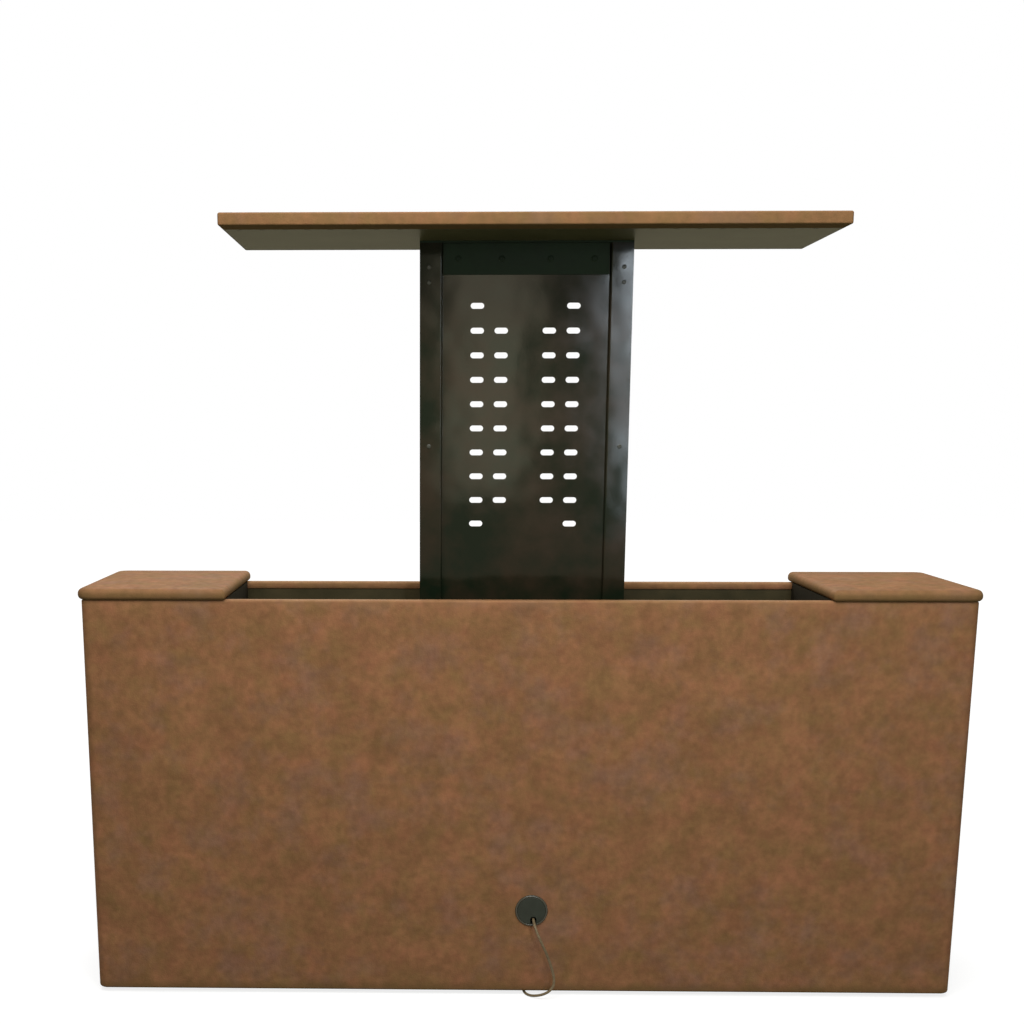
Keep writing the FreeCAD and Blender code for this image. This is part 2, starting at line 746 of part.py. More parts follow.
def make_body_cover():
    """Leather over thin foam round all four sides, turned in over the top edge of the boards."""
    outside = slab("cover_outside", "body_width", "body_depth", "rim_height - glide_height",
                   [("corner_radius", lambda foot: True)])
    put(outside, y="-half_depth", z="glide_height")
    core = slab("cover_core", "body_width - 2 * leather", "body_depth - 2 * leather",
                "board_top - glide_height", [("corner_radius - leather", lambda foot: True)])
    put(core, y="leather - half_depth", z="glide_height")
    inner = box("cover_inner", "-board_end + leather", "-leather_in", "glide_height",
                "2 * (board_end - leather)", "2 * leather_in", "rim_height")
    shell = cut("cover_shell", outside, core)
    window = cut("cover_window", shell, inner)
    band = box("cover_band_outer", "-board_end", "-board_in", "rim_height - leather_turn_in", "2 * board_end",
               "2 * board_in", "leather_turn_in")
    band_hole = box("cover_band_inner", "-board_end + leather", "-leather_in",
                    "rim_height - 2 * leather_turn_in", "2 * (board_end - leather)", "2 * leather_in",
                    "3 * leather_turn_in")
    ring = cut("cover_band", band, band_hole)
    whole = joined("cover_whole", [window, ring])
    piece(cut("cover_drilled", whole, grommet_drill("cover_drill")), "body_cover")


def make_glides():
    """Nylon glides under the floor board."""
    glides = []
    for number, share in enumerate(("-1", "-glide_share", "glide_share", "1")):
        for side in (-1, 1):
            item = doc.addObject("Part::Cone", "glide%d%s" % (number, "n" if side < 0 else "f"))
            bind(item, Radius1="glide_radius", Radius2="glide_radius - glide_draft", Height="glide_height")
            put(item, "%s * (half_width - glide_inset)" % share, "%d * (half_depth - glide_inset)" % side)
            glides.append(item)
    piece(group("glide_group", glides), "floor_glides")


# ---------------------------------------------------------------- caps and lid

def wrapped_slab(prefix, cover_name, board_name, width, middle, low, corners, rounds, drill=None):
    """A board in a leather wrap that is turned under as a border; rounds holds its lower and upper radius."""
    outside = slab(prefix + "_outside", width, "cap_depth", "cap_thickness", corners, *rounds)
    put(outside, middle, "-cap_depth / 2", low)
    inner_x = "%s - (%s) / 2" % (middle, width)
    window = box(prefix + "_window", inner_x + " + leather_border", "leather_border - cap_depth / 2", low,
                 "%s - 2 * leather_border" % width, "cap_depth - 2 * leather_border", "leather")
    inset = slab(prefix + "_inset", "%s - 2 * leather" % width, "cap_depth - 2 * leather",
                 "cap_thickness - 2 * leather", [(radius + " - leather", test) for radius, test in corners],
                 *[radius + " - leather" for radius in rounds])
    put(inset, middle, "leather - cap_depth / 2", low + " + leather")
    piece(cut(prefix + "_wrap", outside, joined(prefix + "_hollow", [inset, window])), cover_name)
    if drill is None:
        piece(inset, board_name)
    else:
        drilled(board_name, inset, drill)


def make_caps():
    for side, sign in (("left", -1), ("right", 1)):
        outer = [("cap_corner", lambda foot, sign=sign: foot.x * sign > 0),
                 ("inner_corner", lambda foot, sign=sign: foot.x * sign < 0)]
        wrapped_slab("cap_" + side, "cap_cover_" + side, "cap_board_" + side, "cap_length",
                     "%d * cap_middle" % sign, "rim_height", outer, ("cap_base_round", "cap_top_round"))
    make_cap_brackets()


def make_cap_brackets():
    """Steel angles that hold the caps: two on each partition and two on each end board."""
    angles = []
    level = "rim_height + leather - cap_bracket_leg"
    for sign in (-1, 1):
        for wall, x, run in (("partition", "(partition_inner + partition_board)", 1),
                             ("end", "(board_end - leather)", -1)):
            for row in (-1, 1):
                tag = "%s%d%d" % (wall, sign + 1, row + 1)
                way = sign * run
                at = "%d * %s" % (sign, x)
                y = "%d * half_depth / 2 - cap_bracket_wide / 2" % row
                leg_x = at if way > 0 else at + " - cap_bracket_steel"
                foot_x = at if way > 0 else at + " - cap_bracket_leg"
                leg = box("angle_leg_" + tag, leg_x, y, level, "cap_bracket_steel", "cap_bracket_wide",
                          "cap_bracket_leg")
                foot = box("angle_foot_" + tag, foot_x, y, "rim_height + leather - cap_bracket_steel",
                           "cap_bracket_leg", "cap_bracket_wide", "cap_bracket_steel")
                angles.append(joined("angle_" + tag, [leg, foot]))
    piece(group("angle_group", angles), "cap_brackets")


def make_lid():
    drill = drills(of("screw_radius"), lid_screws(), UP, of("run_past"), of("lid_screw_length"))
    wrapped_slab("lid", "lid_cover", "lid_board", "lid_width", "0", "lid_raised",
                 [("inner_corner", lambda foot: True)], ("lid_base_round", "lid_top_round"), drill)
    lining = box("lining", "leather_border - lid_width / 2", "leather_border - cap_depth / 2", "lid_raised",
                 "lid_width - 2 * leather_border", "cap_depth - 2 * leather_border", "leather")
    drilled("lid_lining", lining, drill)


# ---------------------------------------------------------------- carriage

def make_pan():
    """The TV pan: one sheet folded to a shallow tray with a strip down each side, and rows of slots.

    Each fold has an inner bend radius, and an outer one that is larger by the sheet's thickness."""
    body = doc.addObject("PartDesign::Body", "pan_body")
    sketch = sketch_on(body, "pan_outline", "XY_Plane")
    rectangle(sketch, "outline", "pan_width", "pan_recess + pan_steel")
    pad(body, sketch, "pan_blank", "carriage_length")
    sketch = sketch_on(body, "pan_folds", "XY_Plane")
    rectangle(sketch, "tray", "2 * (web_half - pan_steel)", "pan_recess")
    for mirrored in (False, True):
        rectangle(sketch, "back%d" % mirrored, "strip_width + run_past", "pan_recess + run_past",
                  low="pan_steel", left="web_half", mirrored=mirrored)
    doc.recompute()
    last = pocket_through(body, sketch, "pan_folded")
    doc.recompute()
    wall, deep = of("web_half"), of("pan_recess")
    for name, radius, inward, level in (("strip_inside", "pan_bend", 0, of("pan_steel")),
                                        ("web_inside", "pan_bend", of("pan_steel"), deep),
                                        ("strip_outside", "pan_bend + pan_steel", of("pan_steel"), 0),
                                        ("web_outside", "pan_bend + pan_steel", 0, deep + of("pan_steel"))):
        side = wall - inward
        names = upright_edges(last.Shape, lambda foot: abs(abs(foot.x) - side) + abs(foot.y - level) < 0.01)
        last = eased(body, last, "bend_" + name, names, radius)
    for name in ("outer", "inner"):
        count = "slot_rows_" + name
        sketch = sketch_on(body, "slots_" + name, "XZ_Plane")
        for side in (-1, 1):
            slot_outline(sketch, "slot%d" % (side + 1), side, "slot_far_" + name, "slot_low_" + name,
                         "slot_reach", "slot_end_radius")
        doc.recompute()
        cut_slots = pocket_through(body, sketch, "cut_" + name)
        doc.recompute()
        last = body.newObject("PartDesign::LinearPattern", "rows_" + name)
        last.Originals = [cut_slots]
        last.Direction = (sketch, ["V_Axis"])
        bind(last, Length="slot_pitch * (%s - 1)" % count, Occurrences=count)
        body.Tip = last
        doc.recompute()
    put(body, y="pan_front", z="carriage_bottom")
    screws = drills(of("screw_radius"), strip_screws(), BACK, of("run_past"), of("strip_screw_length"))
    bolts = drills(of("bolt_radius"), bracket_bolts(), BACK, of("run_past"), of("bracket_bolt_length"))
    drilled("mount_pan", body, screws, bolts)


def channel(name, depth, length, x, y, z, turn=None):
    """A C-section rolled from steel strip, its mouth narrowed by two lips."""
    hollow = {"wide": "channel_inside", "deep": depth + " - 2 * channel_wall", "low": "channel_wall"}
    body = section_body(name, {"wide": "channel_width", "deep": depth}, [hollow], length)
    sketch = sketch_on(body, name + "Mouth", "XY_Plane")
    rectangle(sketch, "mouth", "channel_mouth", "2 * channel_wall", low=depth + " - 1.5 * channel_wall")
    doc.recompute()
    opened = pocket_through(body, sketch, name + "Open")
    doc.recompute()
    side = of("channel_width") / 2
    eased(body, opened, name + "Rolled", upright_edges(opened.Shape, lambda foot: abs(foot.x) > side - 0.01),
          "channel_round")
    return put(body, x, y, z, turn)


def slide_pad(name, depth, head_low, x, y, z, turn=None):
    """A nylon pad that fills a channel and runs on the head of the middle rail."""
    body = section_body(name, {"wide": "channel_inside - pad_fit", "deep": depth},
                        [{"wide": "rail_head_wide + 2 * slide_gap", "deep": "rail_head_thick + 2 * slide_gap",
                          "low": head_low}], "slide_pad_long")
    sketch = sketch_on(body, name + "Neck", "XY_Plane")
    rectangle(sketch, "neck", "rail_web + 2 * slide_gap", depth,
              low=head_low + " + rail_head_thick + slide_gap")
    doc.recompute()
    pocket_through(body, sketch, name + "Slit")
    return put(body, x, y, z, turn)


def make_carriage():
    make_pan()
    drill = drills(of("screw_radius"), strip_screws(), BACK, of("run_past"), of("strip_screw_length"))
    pads = []
    for side, sign in (("left", -1), ("right", 1)):
        x = "%d * channel_side" % sign
        drilled("carriage_channel_" + side,
                channel("carriage_" + side, "carriage_channel_depth", "carriage_length", x, "strip_back",
                        "carriage_bottom"), drill)
        for number in (0, 1):
            level = "carriage_bottom + %d * slide_pad_step" % number
            pads.append(slide_pad("carriage_pad_%s%d" % (side, number),
                                  "carriage_channel_depth - 2 * channel_wall",
                                  "rail_front - slide_gap - strip_back - channel_wall", x,
                                  "strip_back + channel_wall", level))
    piece(group("carriage_pad_group", pads), "carriage_slide_pads")
    piece(box("foot_bar", "-channel_side + channel_width / 2", "web_front + pan_steel",
              "carriage_bottom + bar_above", "2 * channel_side - channel_width", "foot_bar_thick",
              "foot_bar_high"), "carriage_foot_bar")


def make_bracket():
    """The steel bracket under the lid: a plate for the lid and a leg bolted to the pan."""
    plate = slab("bracket_plate", "pan_width", "bracket_reach", "bracket_steel",
                 [("bracket_corner", lambda foot: foot.y > 1)])
    put(plate, y="pan_front", z="plate_bottom")
    leg = box("bracket_leg_plate", "bracket_side_gap + pan_steel - web_half", "leg_front",
              "plate_bottom - bracket_leg", "2 * (web_half - pan_steel - bracket_side_gap)",
              "bracket_leg_steel", "bracket_leg")
    screws = drills(of("screw_radius"), lid_screws(), UP, of("run_past"), of("lid_screw_length"))
    bolts = drills(of("bolt_radius"), bracket_bolts(), BACK, of("run_past"), of("bracket_bolt_length"))
    flange = drills(of("screw_radius"), tube_bolts(), UP, of("run_past"),
                    of("tube_flange_thick") + of("bracket_steel"))
    drilled("lid_bracket", joined("bracket_joined", [plate, leg]), screws, bolts, flange)


# ---------------------------------------------------------------- middle stage and fixed frame

def make_middle_stage():
    for side, sign in (("left", -1), ("right", 1)):
        body = section_body("rail_" + side, {"wide": "rail_head_wide", "deep": "rail_depth"},
                            [{"wide": "rail_head_wide", "deep": "rail_depth - 2 * rail_head_thick",
                              "low": "rail_head_thick", "left": "rail_web / 2", "mirrored": mirrored}
                             for mirrored in (False, True)], "rail_length")
        doc.recompute()
        edges = upright_edges(body.Tip.Shape, lambda foot: abs(foot.x) > of("rail_head_wide") / 2 - 0.01)
        eased(body, body.Tip, "rail_rounded_" + side, edges, "rail_round")
        piece(put(body, "%d * channel_side" % sign, "rail_front", "rail_bottom"), "middle_rail_" + side)
    reach = "channel_side - rail_web / 2"
    piece(box("middle_bar", "-(%s)" % reach, "yoke_front", "rail_bottom + bar_above", "2 * (%s)" % reach,
              "yoke_thick", "mid_bar_high"), "middle_foot_bar")
    low = "yoke_middle - yoke_high / 2"
    bar = box("yoke_bar", "-(%s)" % reach, "yoke_front", low, "2 * (%s)" % reach, "yoke_thick", "yoke_high")
    ring = rod("yoke_ring", "tube_mid_radius + yoke_bore_wall", "yoke_high", "0", "tube_middle", low)
    bore = rod("yoke_bore", "tube_mid_radius", "yoke_high", "0", "tube_middle", low)
    neck = box("yoke_neck", "-tube_mid_radius / 2", "yoke_front", low, "tube_mid_radius",
               "tube_middle - yoke_front", "yoke_high")
    piece(cut("yoke_cut", joined("yoke_joined", [bar, ring, neck]), bore), "middle_yoke")


def tube(name, radius, length, low):
    """A round steel tube of the lifting column."""
    outside = rod(name + "_outside", radius, length, "0", "tube_middle", low)
    inside = rod(name + "_inside", radius + " - tube_wall", length, "0", "tube_middle", low)
    return cut(name + "_hollow", outside, inside)


def collar(name, inside, low):
    """A short ring round the outer tube."""
    ring = rod(name + "_ring", "collar_radius", "collar_high", "0", "tube_middle", low)
    bore = rod(name + "_bore", inside, "collar_high", "0", "tube_middle", low)
    return cut(name, ring, bore)


def make_lifting_column():
    outer = tube("outer", "tube_outer_radius", "tube_outer_top - gearbox_top", "gearbox_top")
    bush = collar("outer_bush", "tube_outer_radius - tube_wall / 2", "tube_outer_top - collar_high")
    piece(joined("outer_joined", [outer, bush]), "lift_tube_outer")
    middle = tube("middle", "tube_mid_radius", "tube_mid_length", "tube_mid_top - tube_mid_length")
    piece(middle, "lift_tube_middle")
    inner = tube("inner", "tube_inner_radius", "tube_inner_length", "plate_bottom - tube_inner_length")
    flange = rod("flange_disc", "tube_flange_radius", "tube_flange_thick", "0", "tube_middle",
                 "plate_bottom - tube_flange_thick")
    drill = drills(of("screw_radius"), tube_bolts(), UP, of("run_past"),
                   of("tube_flange_thick") + of("bracket_steel"))
    drilled("lift_tube_inner", joined("inner_joined", [inner, flange]), drill)
    make_drive()


def make_drive():
    """The ribbed gearbox that carries the lifting column, and the motor that stands beside it."""
    middle = "gearbox_long / 2 - gearbox_left"
    half = "(gearbox_half_deep - gearbox_seam)"
    case = slab("gearbox_case", "gearbox_long - 2 * gearbox_seam", "2 * " + half, "gearbox_high",
                [("gearbox_round - gearbox_seam", lambda foot: True)])
    put(case, middle, "tube_middle - " + half, "frame_bottom")
    seam = slab("gearbox_flange", "gearbox_long", "2 * gearbox_half_deep", "gearbox_seam_high",
                [("gearbox_round", lambda foot: True)])
    put(seam, middle, "tube_middle - gearbox_half_deep", "frame_bottom + gearbox_seam_low")
    ribs = [box("gearbox_rib%d" % number,
                "%s + (%d - (gearbox_ribs - 1) / 2) * gearbox_rib_step - gearbox_rib / 2" % (middle, number),
                "tube_middle - gearbox_half_deep", "frame_bottom", "gearbox_rib", "2 * gearbox_half_deep",
                "gearbox_seam_low") for number in range(SIZES["gearbox_ribs"])]
    socket = collar("gearbox_socket", "tube_outer_radius + collar_fit", "gearbox_top")
    piece(joined("gearbox_joined", [case, seam, socket] + ribs), "gearbox")
    make_motor()


def make_motor():
    """A round motor on a flange, with a crimped band, an end cap and the gland of its lead."""
    def disc(name, radius, high, low):
        return rod("motor_" + name, radius, high, "motor_offset", "tube_middle", low)

    end = "gearbox_top + motor_high"
    parts = [disc("can", "motor_radius", "motor_high", "gearbox_top"),
             disc("foot", "motor_radius + motor_foot_step", "motor_foot_high", "gearbox_top"),
             disc("band", "motor_radius + motor_band_step", "motor_band_high", end + " - motor_band_high"),
             disc("end", "motor_radius - motor_cap_step", "motor_cap_high", end),
             cable_gland("motor", "motor_offset", "tube_middle", end + " + motor_cap_high")]
    piece(joined("motor_joined", parts), "lift_motor")


def make_fixed_frame():
    drill = drills(of("bolt_radius"), frame_bolts(), BACK, of("run_past"), of("frame_bolt_length"))
    pads = []
    for side, sign in (("left", -1), ("right", 1)):
        x = "%d * channel_side" % sign
        drilled("column_" + side,
                channel("column_body_" + side, "column_channel_depth", "column_top - frame_bottom", x,
                        "column_rear", "frame_bottom", HALF_TURN), drill)
        for number in (0, 1):
            level = "column_top - slide_pad_long - %d * column_pad_step" % number
            pads.append(slide_pad("column_pad_%s%d" % (side, number),
                                  "column_channel_depth - 2 * channel_wall",
                                  "column_rear - channel_wall - rail_rear - slide_gap", x,
                                  "column_rear - channel_wall", level, HALF_TURN))
    piece(group("column_pad_group", pads), "column_slide_pads")
    for name, level in (("frame_bar_lower", "frame_bar_low"), ("frame_bar_upper", "frame_bar_upper")):
        bar = box(name + "_flat", "-channel_side - channel_width / 2", "column_rear",
                  level + " - frame_bar_high / 2", "2 * channel_side + channel_width", "frame_bar_thick",
                  "frame_bar_high")
        drilled(name, bar, drill)
    plate = box("base_flat", "-base_half_width", "base_front", "floor_top", "2 * base_half_width",
                "base_rear - base_front", "base_steel")
    drilled("lift_base_plate", plate,
            drills(of("screw_radius"), base_screws(), DOWN, of("run_past"), of("base_screw_length")))


# ---------------------------------------------------------------- electrics and grommet

def path_wire(points, share=0.45):
    """Straight runs joined by tangent arcs, each arc as large as its two runs allow."""
    edges = []
    last = points[0]
    radii = []
    for before, corner, after in zip(points, points[1:], points[2:]):
        first, second = before - corner, after - corner
        back, on = Vector(first).normalize(), Vector(second).normalize()
        turn = math.pi - back.getAngle(on)
        reach = share * min(first.Length, second.Length)
        radius = reach / math.tan(turn / 2)
        radii.append(radius)
        start, end = corner + back * reach, corner + on * reach
        bisector = (back + on).normalize()
        centre = corner + bisector * (radius / math.cos(turn / 2))
        edges.append(Part.LineSegment(last, start).toShape())
        edges.append(Part.Arc(start, centre - bisector * radius, end).toShape())
        last = end
    edges.append(Part.LineSegment(last, points[-1]).toShape())
    return Part.Wire(edges), radii


def lead(name, points, radius):
    """A round cable along a path, with its volume compared with its section times its length."""
    wire, radii = path_wire(points)
    ring = Part.Wire([Part.makeCircle(radius, points[0], points[1] - points[0])])
    shape = wire.makePipeShell([ring], True, True)
    expected = math.pi * radius ** 2 * wire.Length
    print("%s: length %.0f mm, volume ratio %.4f, radii %s" % (
        name, wire.Length, shape.Volume / expected, " ".join("%.0f" % value for value in radii)))
    return piece(solid(name + "_tube", shape), name)


def cable_gland(name, x, y, z, turn=None):
    """A short sleeve that a lead passes through on its way into a housing."""
    sleeve = rod(name + "_sleeve", "gland_radius", "gland_high", x, y, z, turn)
    hole = rod(name + "_hole", "lead_radius + drill_gap", "gland_high", x, y, z, turn)
    return cut(name + "_gland", sleeve, hole)


def make_electrics():
    floor = "floor_top"
    shell = slab("control_shell", "box_long", "box_deep", "box_high", [("box_round", lambda foot: True)])
    put(shell, "box_left + box_long / 2", "box_front", floor)
    hollow = box("control_hollow", "box_left + box_wall", "box_front + box_wall", floor + " + box_wall",
                 "box_long - 2 * box_wall", "box_deep - 2 * box_wall", "box_high")
    inlet = cable_gland("inlet", "box_left - gland_high", "box_front + socket_side",
                        floor + " + lead_radius + socket_up", ALONG_X)
    piece(joined("control_joined", [cut("control_cut", shell, hollow), inlet]), "control_box")
    cover = box("control_lid_plate", "box_left + box_wall + box_fit", "box_front + box_wall + box_fit",
                floor + " + box_high - 3 * box_wall", "box_long - 2 * (box_wall + box_fit)",
                "box_deep - 2 * (box_wall + box_fit)", "3 * box_wall")
    vents = [box("vent%d" % number,
                 "box_left + box_long - box_wall - vent_inset - vent_wide - %d * vent_step" % number,
                 "box_front + box_deep / 2 - vent_long / 2", floor + " + box_high - 4 * box_wall",
                 "vent_wide", "vent_long", "5 * box_wall") for number in range(SIZES["vent_count"])]
    outlet = cable_gland("outlet", "box_left + motor_socket", "timber_front - motor_socket_side",
                         floor + " + box_high")
    vented = cut("control_lid_vented", cover, joined("vents", vents))
    piece(joined("control_lid_joined", [vented, outlet]), "control_box_lid")
    inset = " + box_wall + circuit_gap"
    corner = ("box_left" + inset, "box_front" + inset, floor + " + box_wall")
    parts = [box("circuit_plate", *corner, "box_long - 2 * (box_wall + circuit_gap)",
                 "box_deep - 2 * (box_wall + circuit_gap)", "circuit_thick")]
    for number, (across, along, long, deep, high) in enumerate(CIRCUIT_BLOCKS):
        parts.append(box("circuit_block%d" % number, "%s + %g" % (corner[0], across),
                         "%s + %g" % (corner[1], along), corner[2], "%g" % long, "%g" % deep,
                         "circuit_thick + %g" % high))
    piece(joined("circuit_joined", parts), "circuit_board")
    supply = slab("supply_body", "supply_long", "supply_deep", "supply_high",
                  [("box_round", lambda foot: True)])
    put(supply, "box_left + box_long + supply_gap + supply_long / 2", "box_front", floor)
    piece(supply, "power_supply")


def route(start, steps):
    """The corners of a route, given as steps from one place."""
    return [start + Vector(*step) for step in steps]


def make_held_leads():
    """Cables that the chest holds all the way: from the motor and from the grommet to the electrics."""
    radius = of("lead_radius")
    floor = of("floor_top") + radius
    left, face = of("box_left"), of("timber_front")
    level = of("gearbox_top") + of("motor_high") + of("motor_cap_high")
    cap = Vector(of("motor_offset"), of("tube_middle"), level)
    shelf = Vector(left, face, of("frame_bar_low") + of("rail_timber") / 2 + radius)
    level = of("floor_top") + of("box_high")
    entry = Vector(left + of("motor_socket"), face - of("motor_socket_side"), level)
    lead("motor_lead", route(cap, MOTOR_LOOP) + route(shelf, MOTOR_SHELF) + [entry], radius)
    notch = Vector(of("exit_x"), -of("half_depth"), of("exit_z"))
    run = Vector(notch.x, notch.y, floor)
    socket = Vector(left, of("box_front") + of("socket_side"), floor + of("socket_up"))
    points = route(notch, MAINS_DROP) + route(run, MAINS_RUN) + route(socket, MAINS_RISE)
    lead("mains_lead_inner", points, radius)


def front_rounded(name, base, radius):
    """Round the front rim of an upright disc."""
    doc.recompute()
    near = base.Shape.BoundBox.YMin
    rims = [number for number, edge in enumerate(base.Shape.Edges, 1)
            if edge.Closed and abs(edge.CenterOfMass.y - near) < 0.01]
    item = doc.addObject("Part::Fillet", name)
    item.Base = base
    item.Edges = [(number, of(radius), of(radius)) for number in rims]
    return item


def make_grommet():
    """A moulded cable grommet: a flanged sleeve in the near board, and a snap-in cap with a cord notch."""
    front = "-half_depth"

    def disc(name, radius, thick, ahead="0"):
        return rod(name, radius, thick, "grommet_x", front + " - " + ahead, "grommet_z", ALONG_Y)

    flange = front_rounded("ring_flange_rounded",
                           disc("ring_flange", "grommet_flange_radius", "grommet_flange_thick",
                                "grommet_flange_thick"), "grommet_rim_round")
    sleeve = disc("ring_sleeve", "grommet_sleeve_radius", "grommet_sleeve_long")
    bore = disc("ring_bore", "grommet_bore_radius", "grommet_sleeve_long + 2 * grommet_flange_thick",
                "2 * grommet_flange_thick")
    piece(cut("ring_cut", joined("ring_joined", [flange, sleeve]), bore), "grommet_ring")
    face = front_rounded("cap_disc_rounded", disc("cap_disc", "cap_radius", "cap_disc", "cap_disc"),
                         "cap_rim_round")
    skirt = cut("cap_skirt", disc("cap_lip", "cap_radius", "cap_skirt"),
                disc("cap_lip_hole", "cap_radius - cap_lip", "cap_skirt"))
    ahead = front + " - cap_disc - run_past"
    through = "cap_disc + cap_skirt + 2 * run_past"
    notch = rod("cap_notch", "notch_radius", through, "exit_x", ahead, "exit_z", ALONG_Y)
    mouth = box("cap_mouth", "exit_x - notch_radius", ahead, "grommet_z - grommet_bore_radius - run_past",
                "2 * notch_radius", through, "grommet_bore_radius + run_past - notch_drop")
    opening = joined("cap_opening", [notch, mouth])
    piece(cut("cap_cut", joined("cap_joined", [face, skirt]), opening), "grommet_cap")


# ---------------------------------------------------------------- supply cord

def cord_points():
    """The free cord's route: from the grommet down the near side, under the chest and out behind it."""
    across, front, drop = of("exit_x"), -of("half_depth"), of("exit_z")
    reach = of("coil_y") - front
    points = [Vector(across + x, front + y, share * drop) for x, y, share in CORD_HANG]
    return points + [Vector(across + x, front + share * reach, of("lead_radius")) for x, share in CORD_FLOOR]


def make_cord():
    lead("mains_cord", cord_points(), of("lead_radius"))
    centre = Vector(of("coil_x"), of("coil_y"), 0)
    inner = of("coil_radius") - of("coil_wide") / 2
    outer = of("coil_radius") + of("coil_wide") / 2
    ring = Part.makeCylinder(outer, of("coil_high"), centre)
    ring = ring.cut(Part.makeCylinder(inner, of("coil_high"), centre))
    upper = [edge for edge in ring.Edges if edge.Closed and edge.CenterOfMass.z > of("coil_high") / 2]
    piece(solid("coil_ring", ring.makeFillet(of("coil_round"), upper)), "mains_cord_coil")
    make_plug()


def make_plug():
    """A moulded two-blade plug on its side by the coil, its strain relief reaching the last turn."""
    body = slab("plug_body", "plug_wide", "plug_long", "plug_high", [("plug_round", lambda foot: True)],
                "plug_round - relief_flare", "plug_round - relief_flare")
    blades = [box("blade%d" % (sign + 1), "%d * blade_step / 2 - blade_thick / 2" % sign,
                  "plug_long - run_past", "plug_high / 2 - blade_high / 2", "blade_thick",
                  "blade_long + run_past", "blade_high") for sign in (-1, 1)]
    relief = doc.addObject("Part::Cone", "plug_relief")
    bind(relief, Radius1="plug_round + relief_flare", Radius2="lead_radius + relief_flare",
         Height="relief_long")
    put(relief, "0", "run_past", "plug_high / 2", Rotation(Vector(1, 0, 0), 90))
    plug = joined("plug_joined", [body, relief] + blades)
    put(plug, "coil_x - relief_long - plug_aside", "coil_y + coil_radius", "0", Rotation(UP, 90))
    piece(plug, "mains_plug")


def check_and_write():
    """Stop on any failed object, then write each piece to its file."""
    doc.recompute()
    for item in doc.Objects:
        if "Invalid" in item.State or "Error" in item.State:
            raise RuntimeError("failed object: %s %s" % (item.Label, item.State))
    os.makedirs("parts", exist_ok=True)
    for item in PIECES:
        shape = item.Shape
        if shape.isNull() or not shape.isValid() or not shape.Solids:
            raise RuntimeError("bad shape: " + item.Label)
        shape.exportStep("parts/%s.step" % item.Label)
        bounds = shape.BoundBox
        print("%-24s solids %2d  x %7.1f %7.1f  y %7.1f %7.1f  z %7.1f %7.1f" % (
            item.Label, len(shape.Solids), bounds.XMin, bounds.XMax, bounds.YMin, bounds.YMax,
            bounds.ZMin, bounds.ZMax))


make_chest_boards()
make_partitions()
make_timber()
make_body_cover()
make_glides()
make_caps()
make_lid()
make_carriage()
make_bracket()
make_middle_stage()
make_lifting_column()
make_fixed_frame()
make_fasteners()
make_electrics()
make_held_leads()
make_grommet()
make_cord()
check_and_write()
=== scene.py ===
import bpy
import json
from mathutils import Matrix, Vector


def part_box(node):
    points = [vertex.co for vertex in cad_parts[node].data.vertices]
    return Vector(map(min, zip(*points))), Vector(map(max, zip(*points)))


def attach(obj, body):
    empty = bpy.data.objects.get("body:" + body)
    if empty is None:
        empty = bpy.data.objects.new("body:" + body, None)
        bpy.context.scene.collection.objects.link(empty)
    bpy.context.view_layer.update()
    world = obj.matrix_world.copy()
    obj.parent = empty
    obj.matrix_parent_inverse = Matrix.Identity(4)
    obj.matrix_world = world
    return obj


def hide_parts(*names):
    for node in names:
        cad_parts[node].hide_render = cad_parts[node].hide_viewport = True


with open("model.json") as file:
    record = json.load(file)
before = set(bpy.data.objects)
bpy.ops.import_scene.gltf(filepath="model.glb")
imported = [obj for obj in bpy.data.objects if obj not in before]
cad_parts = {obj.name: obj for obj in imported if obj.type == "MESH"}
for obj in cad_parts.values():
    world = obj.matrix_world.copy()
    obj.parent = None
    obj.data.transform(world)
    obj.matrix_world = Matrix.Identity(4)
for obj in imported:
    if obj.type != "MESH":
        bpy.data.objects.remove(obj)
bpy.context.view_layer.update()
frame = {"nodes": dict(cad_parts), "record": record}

import json
import math

import bmesh
import bpy
from bpy.props import FloatProperty, IntProperty, PointerProperty, StringProperty
from mathutils import Matrix, Vector, noise

bl_info = {
    "name": "TV Lift Cabinet",
    "version": (1, 0, 0),
    "blender": (4, 5, 0),
    "location": "View3D > Sidebar > Lift Cabinet",
    "description": "Leather, steel and cord finishes for a TV lift cabinet",
    "category": "Object",
}

MM = 0.001


# ---------------------------------------------------------------- settings

class LeatherSettings(bpy.types.PropertyGroup):
    red: StringProperty(name="Red", description="Colour of the redder patches", default="875C40")
    olive: StringProperty(name="Olive", description="Colour of the greener patches", default="7A5B3A")
    plum: StringProperty(name="Plum", description="Colour of the faint cool clouds", default="7A5B4B")
    # Wear colour, which on the chest's far rim is also a painted highlight.
    rubbed_and_highlit: StringProperty(name="Rubbed", description="Colour where an edge is rubbed", default="96724F")
    # Painted shade colour, for turned-under borders, lower edges, sides, the chest's foot and the lid's near
    # strip.
    painted_shade: StringProperty(name="Tucked", description="Colour where it is turned under", default="62502F")
    patch: FloatProperty(
        name="Patch", description="Width of a patch of one colour", default=0.058, unit="LENGTH")
    fleck: FloatProperty(
        name="Fleck", description="Width of a fleck in a patch", default=0.016, unit="LENGTH")
    grain: FloatProperty(
        name="Grain", description="Width of a pebble of the grain", default=0.0030, unit="LENGTH")
    skin: FloatProperty(
        name="Skin", description="Thickness of leather and foam", default=0.0026, unit="LENGTH")
    turn_in: FloatProperty(
        name="Turn-in", description="Leather folded over the inner edge", default=0.015, unit="LENGTH")
    border: FloatProperty(
        name="Border", description="Leather folded under a cap or the lid", default=0.020, unit="LENGTH")
    crown: FloatProperty(
        name="Crown", description="Rise of the padding in a cap's middle", default=0.0022, unit="LENGTH")


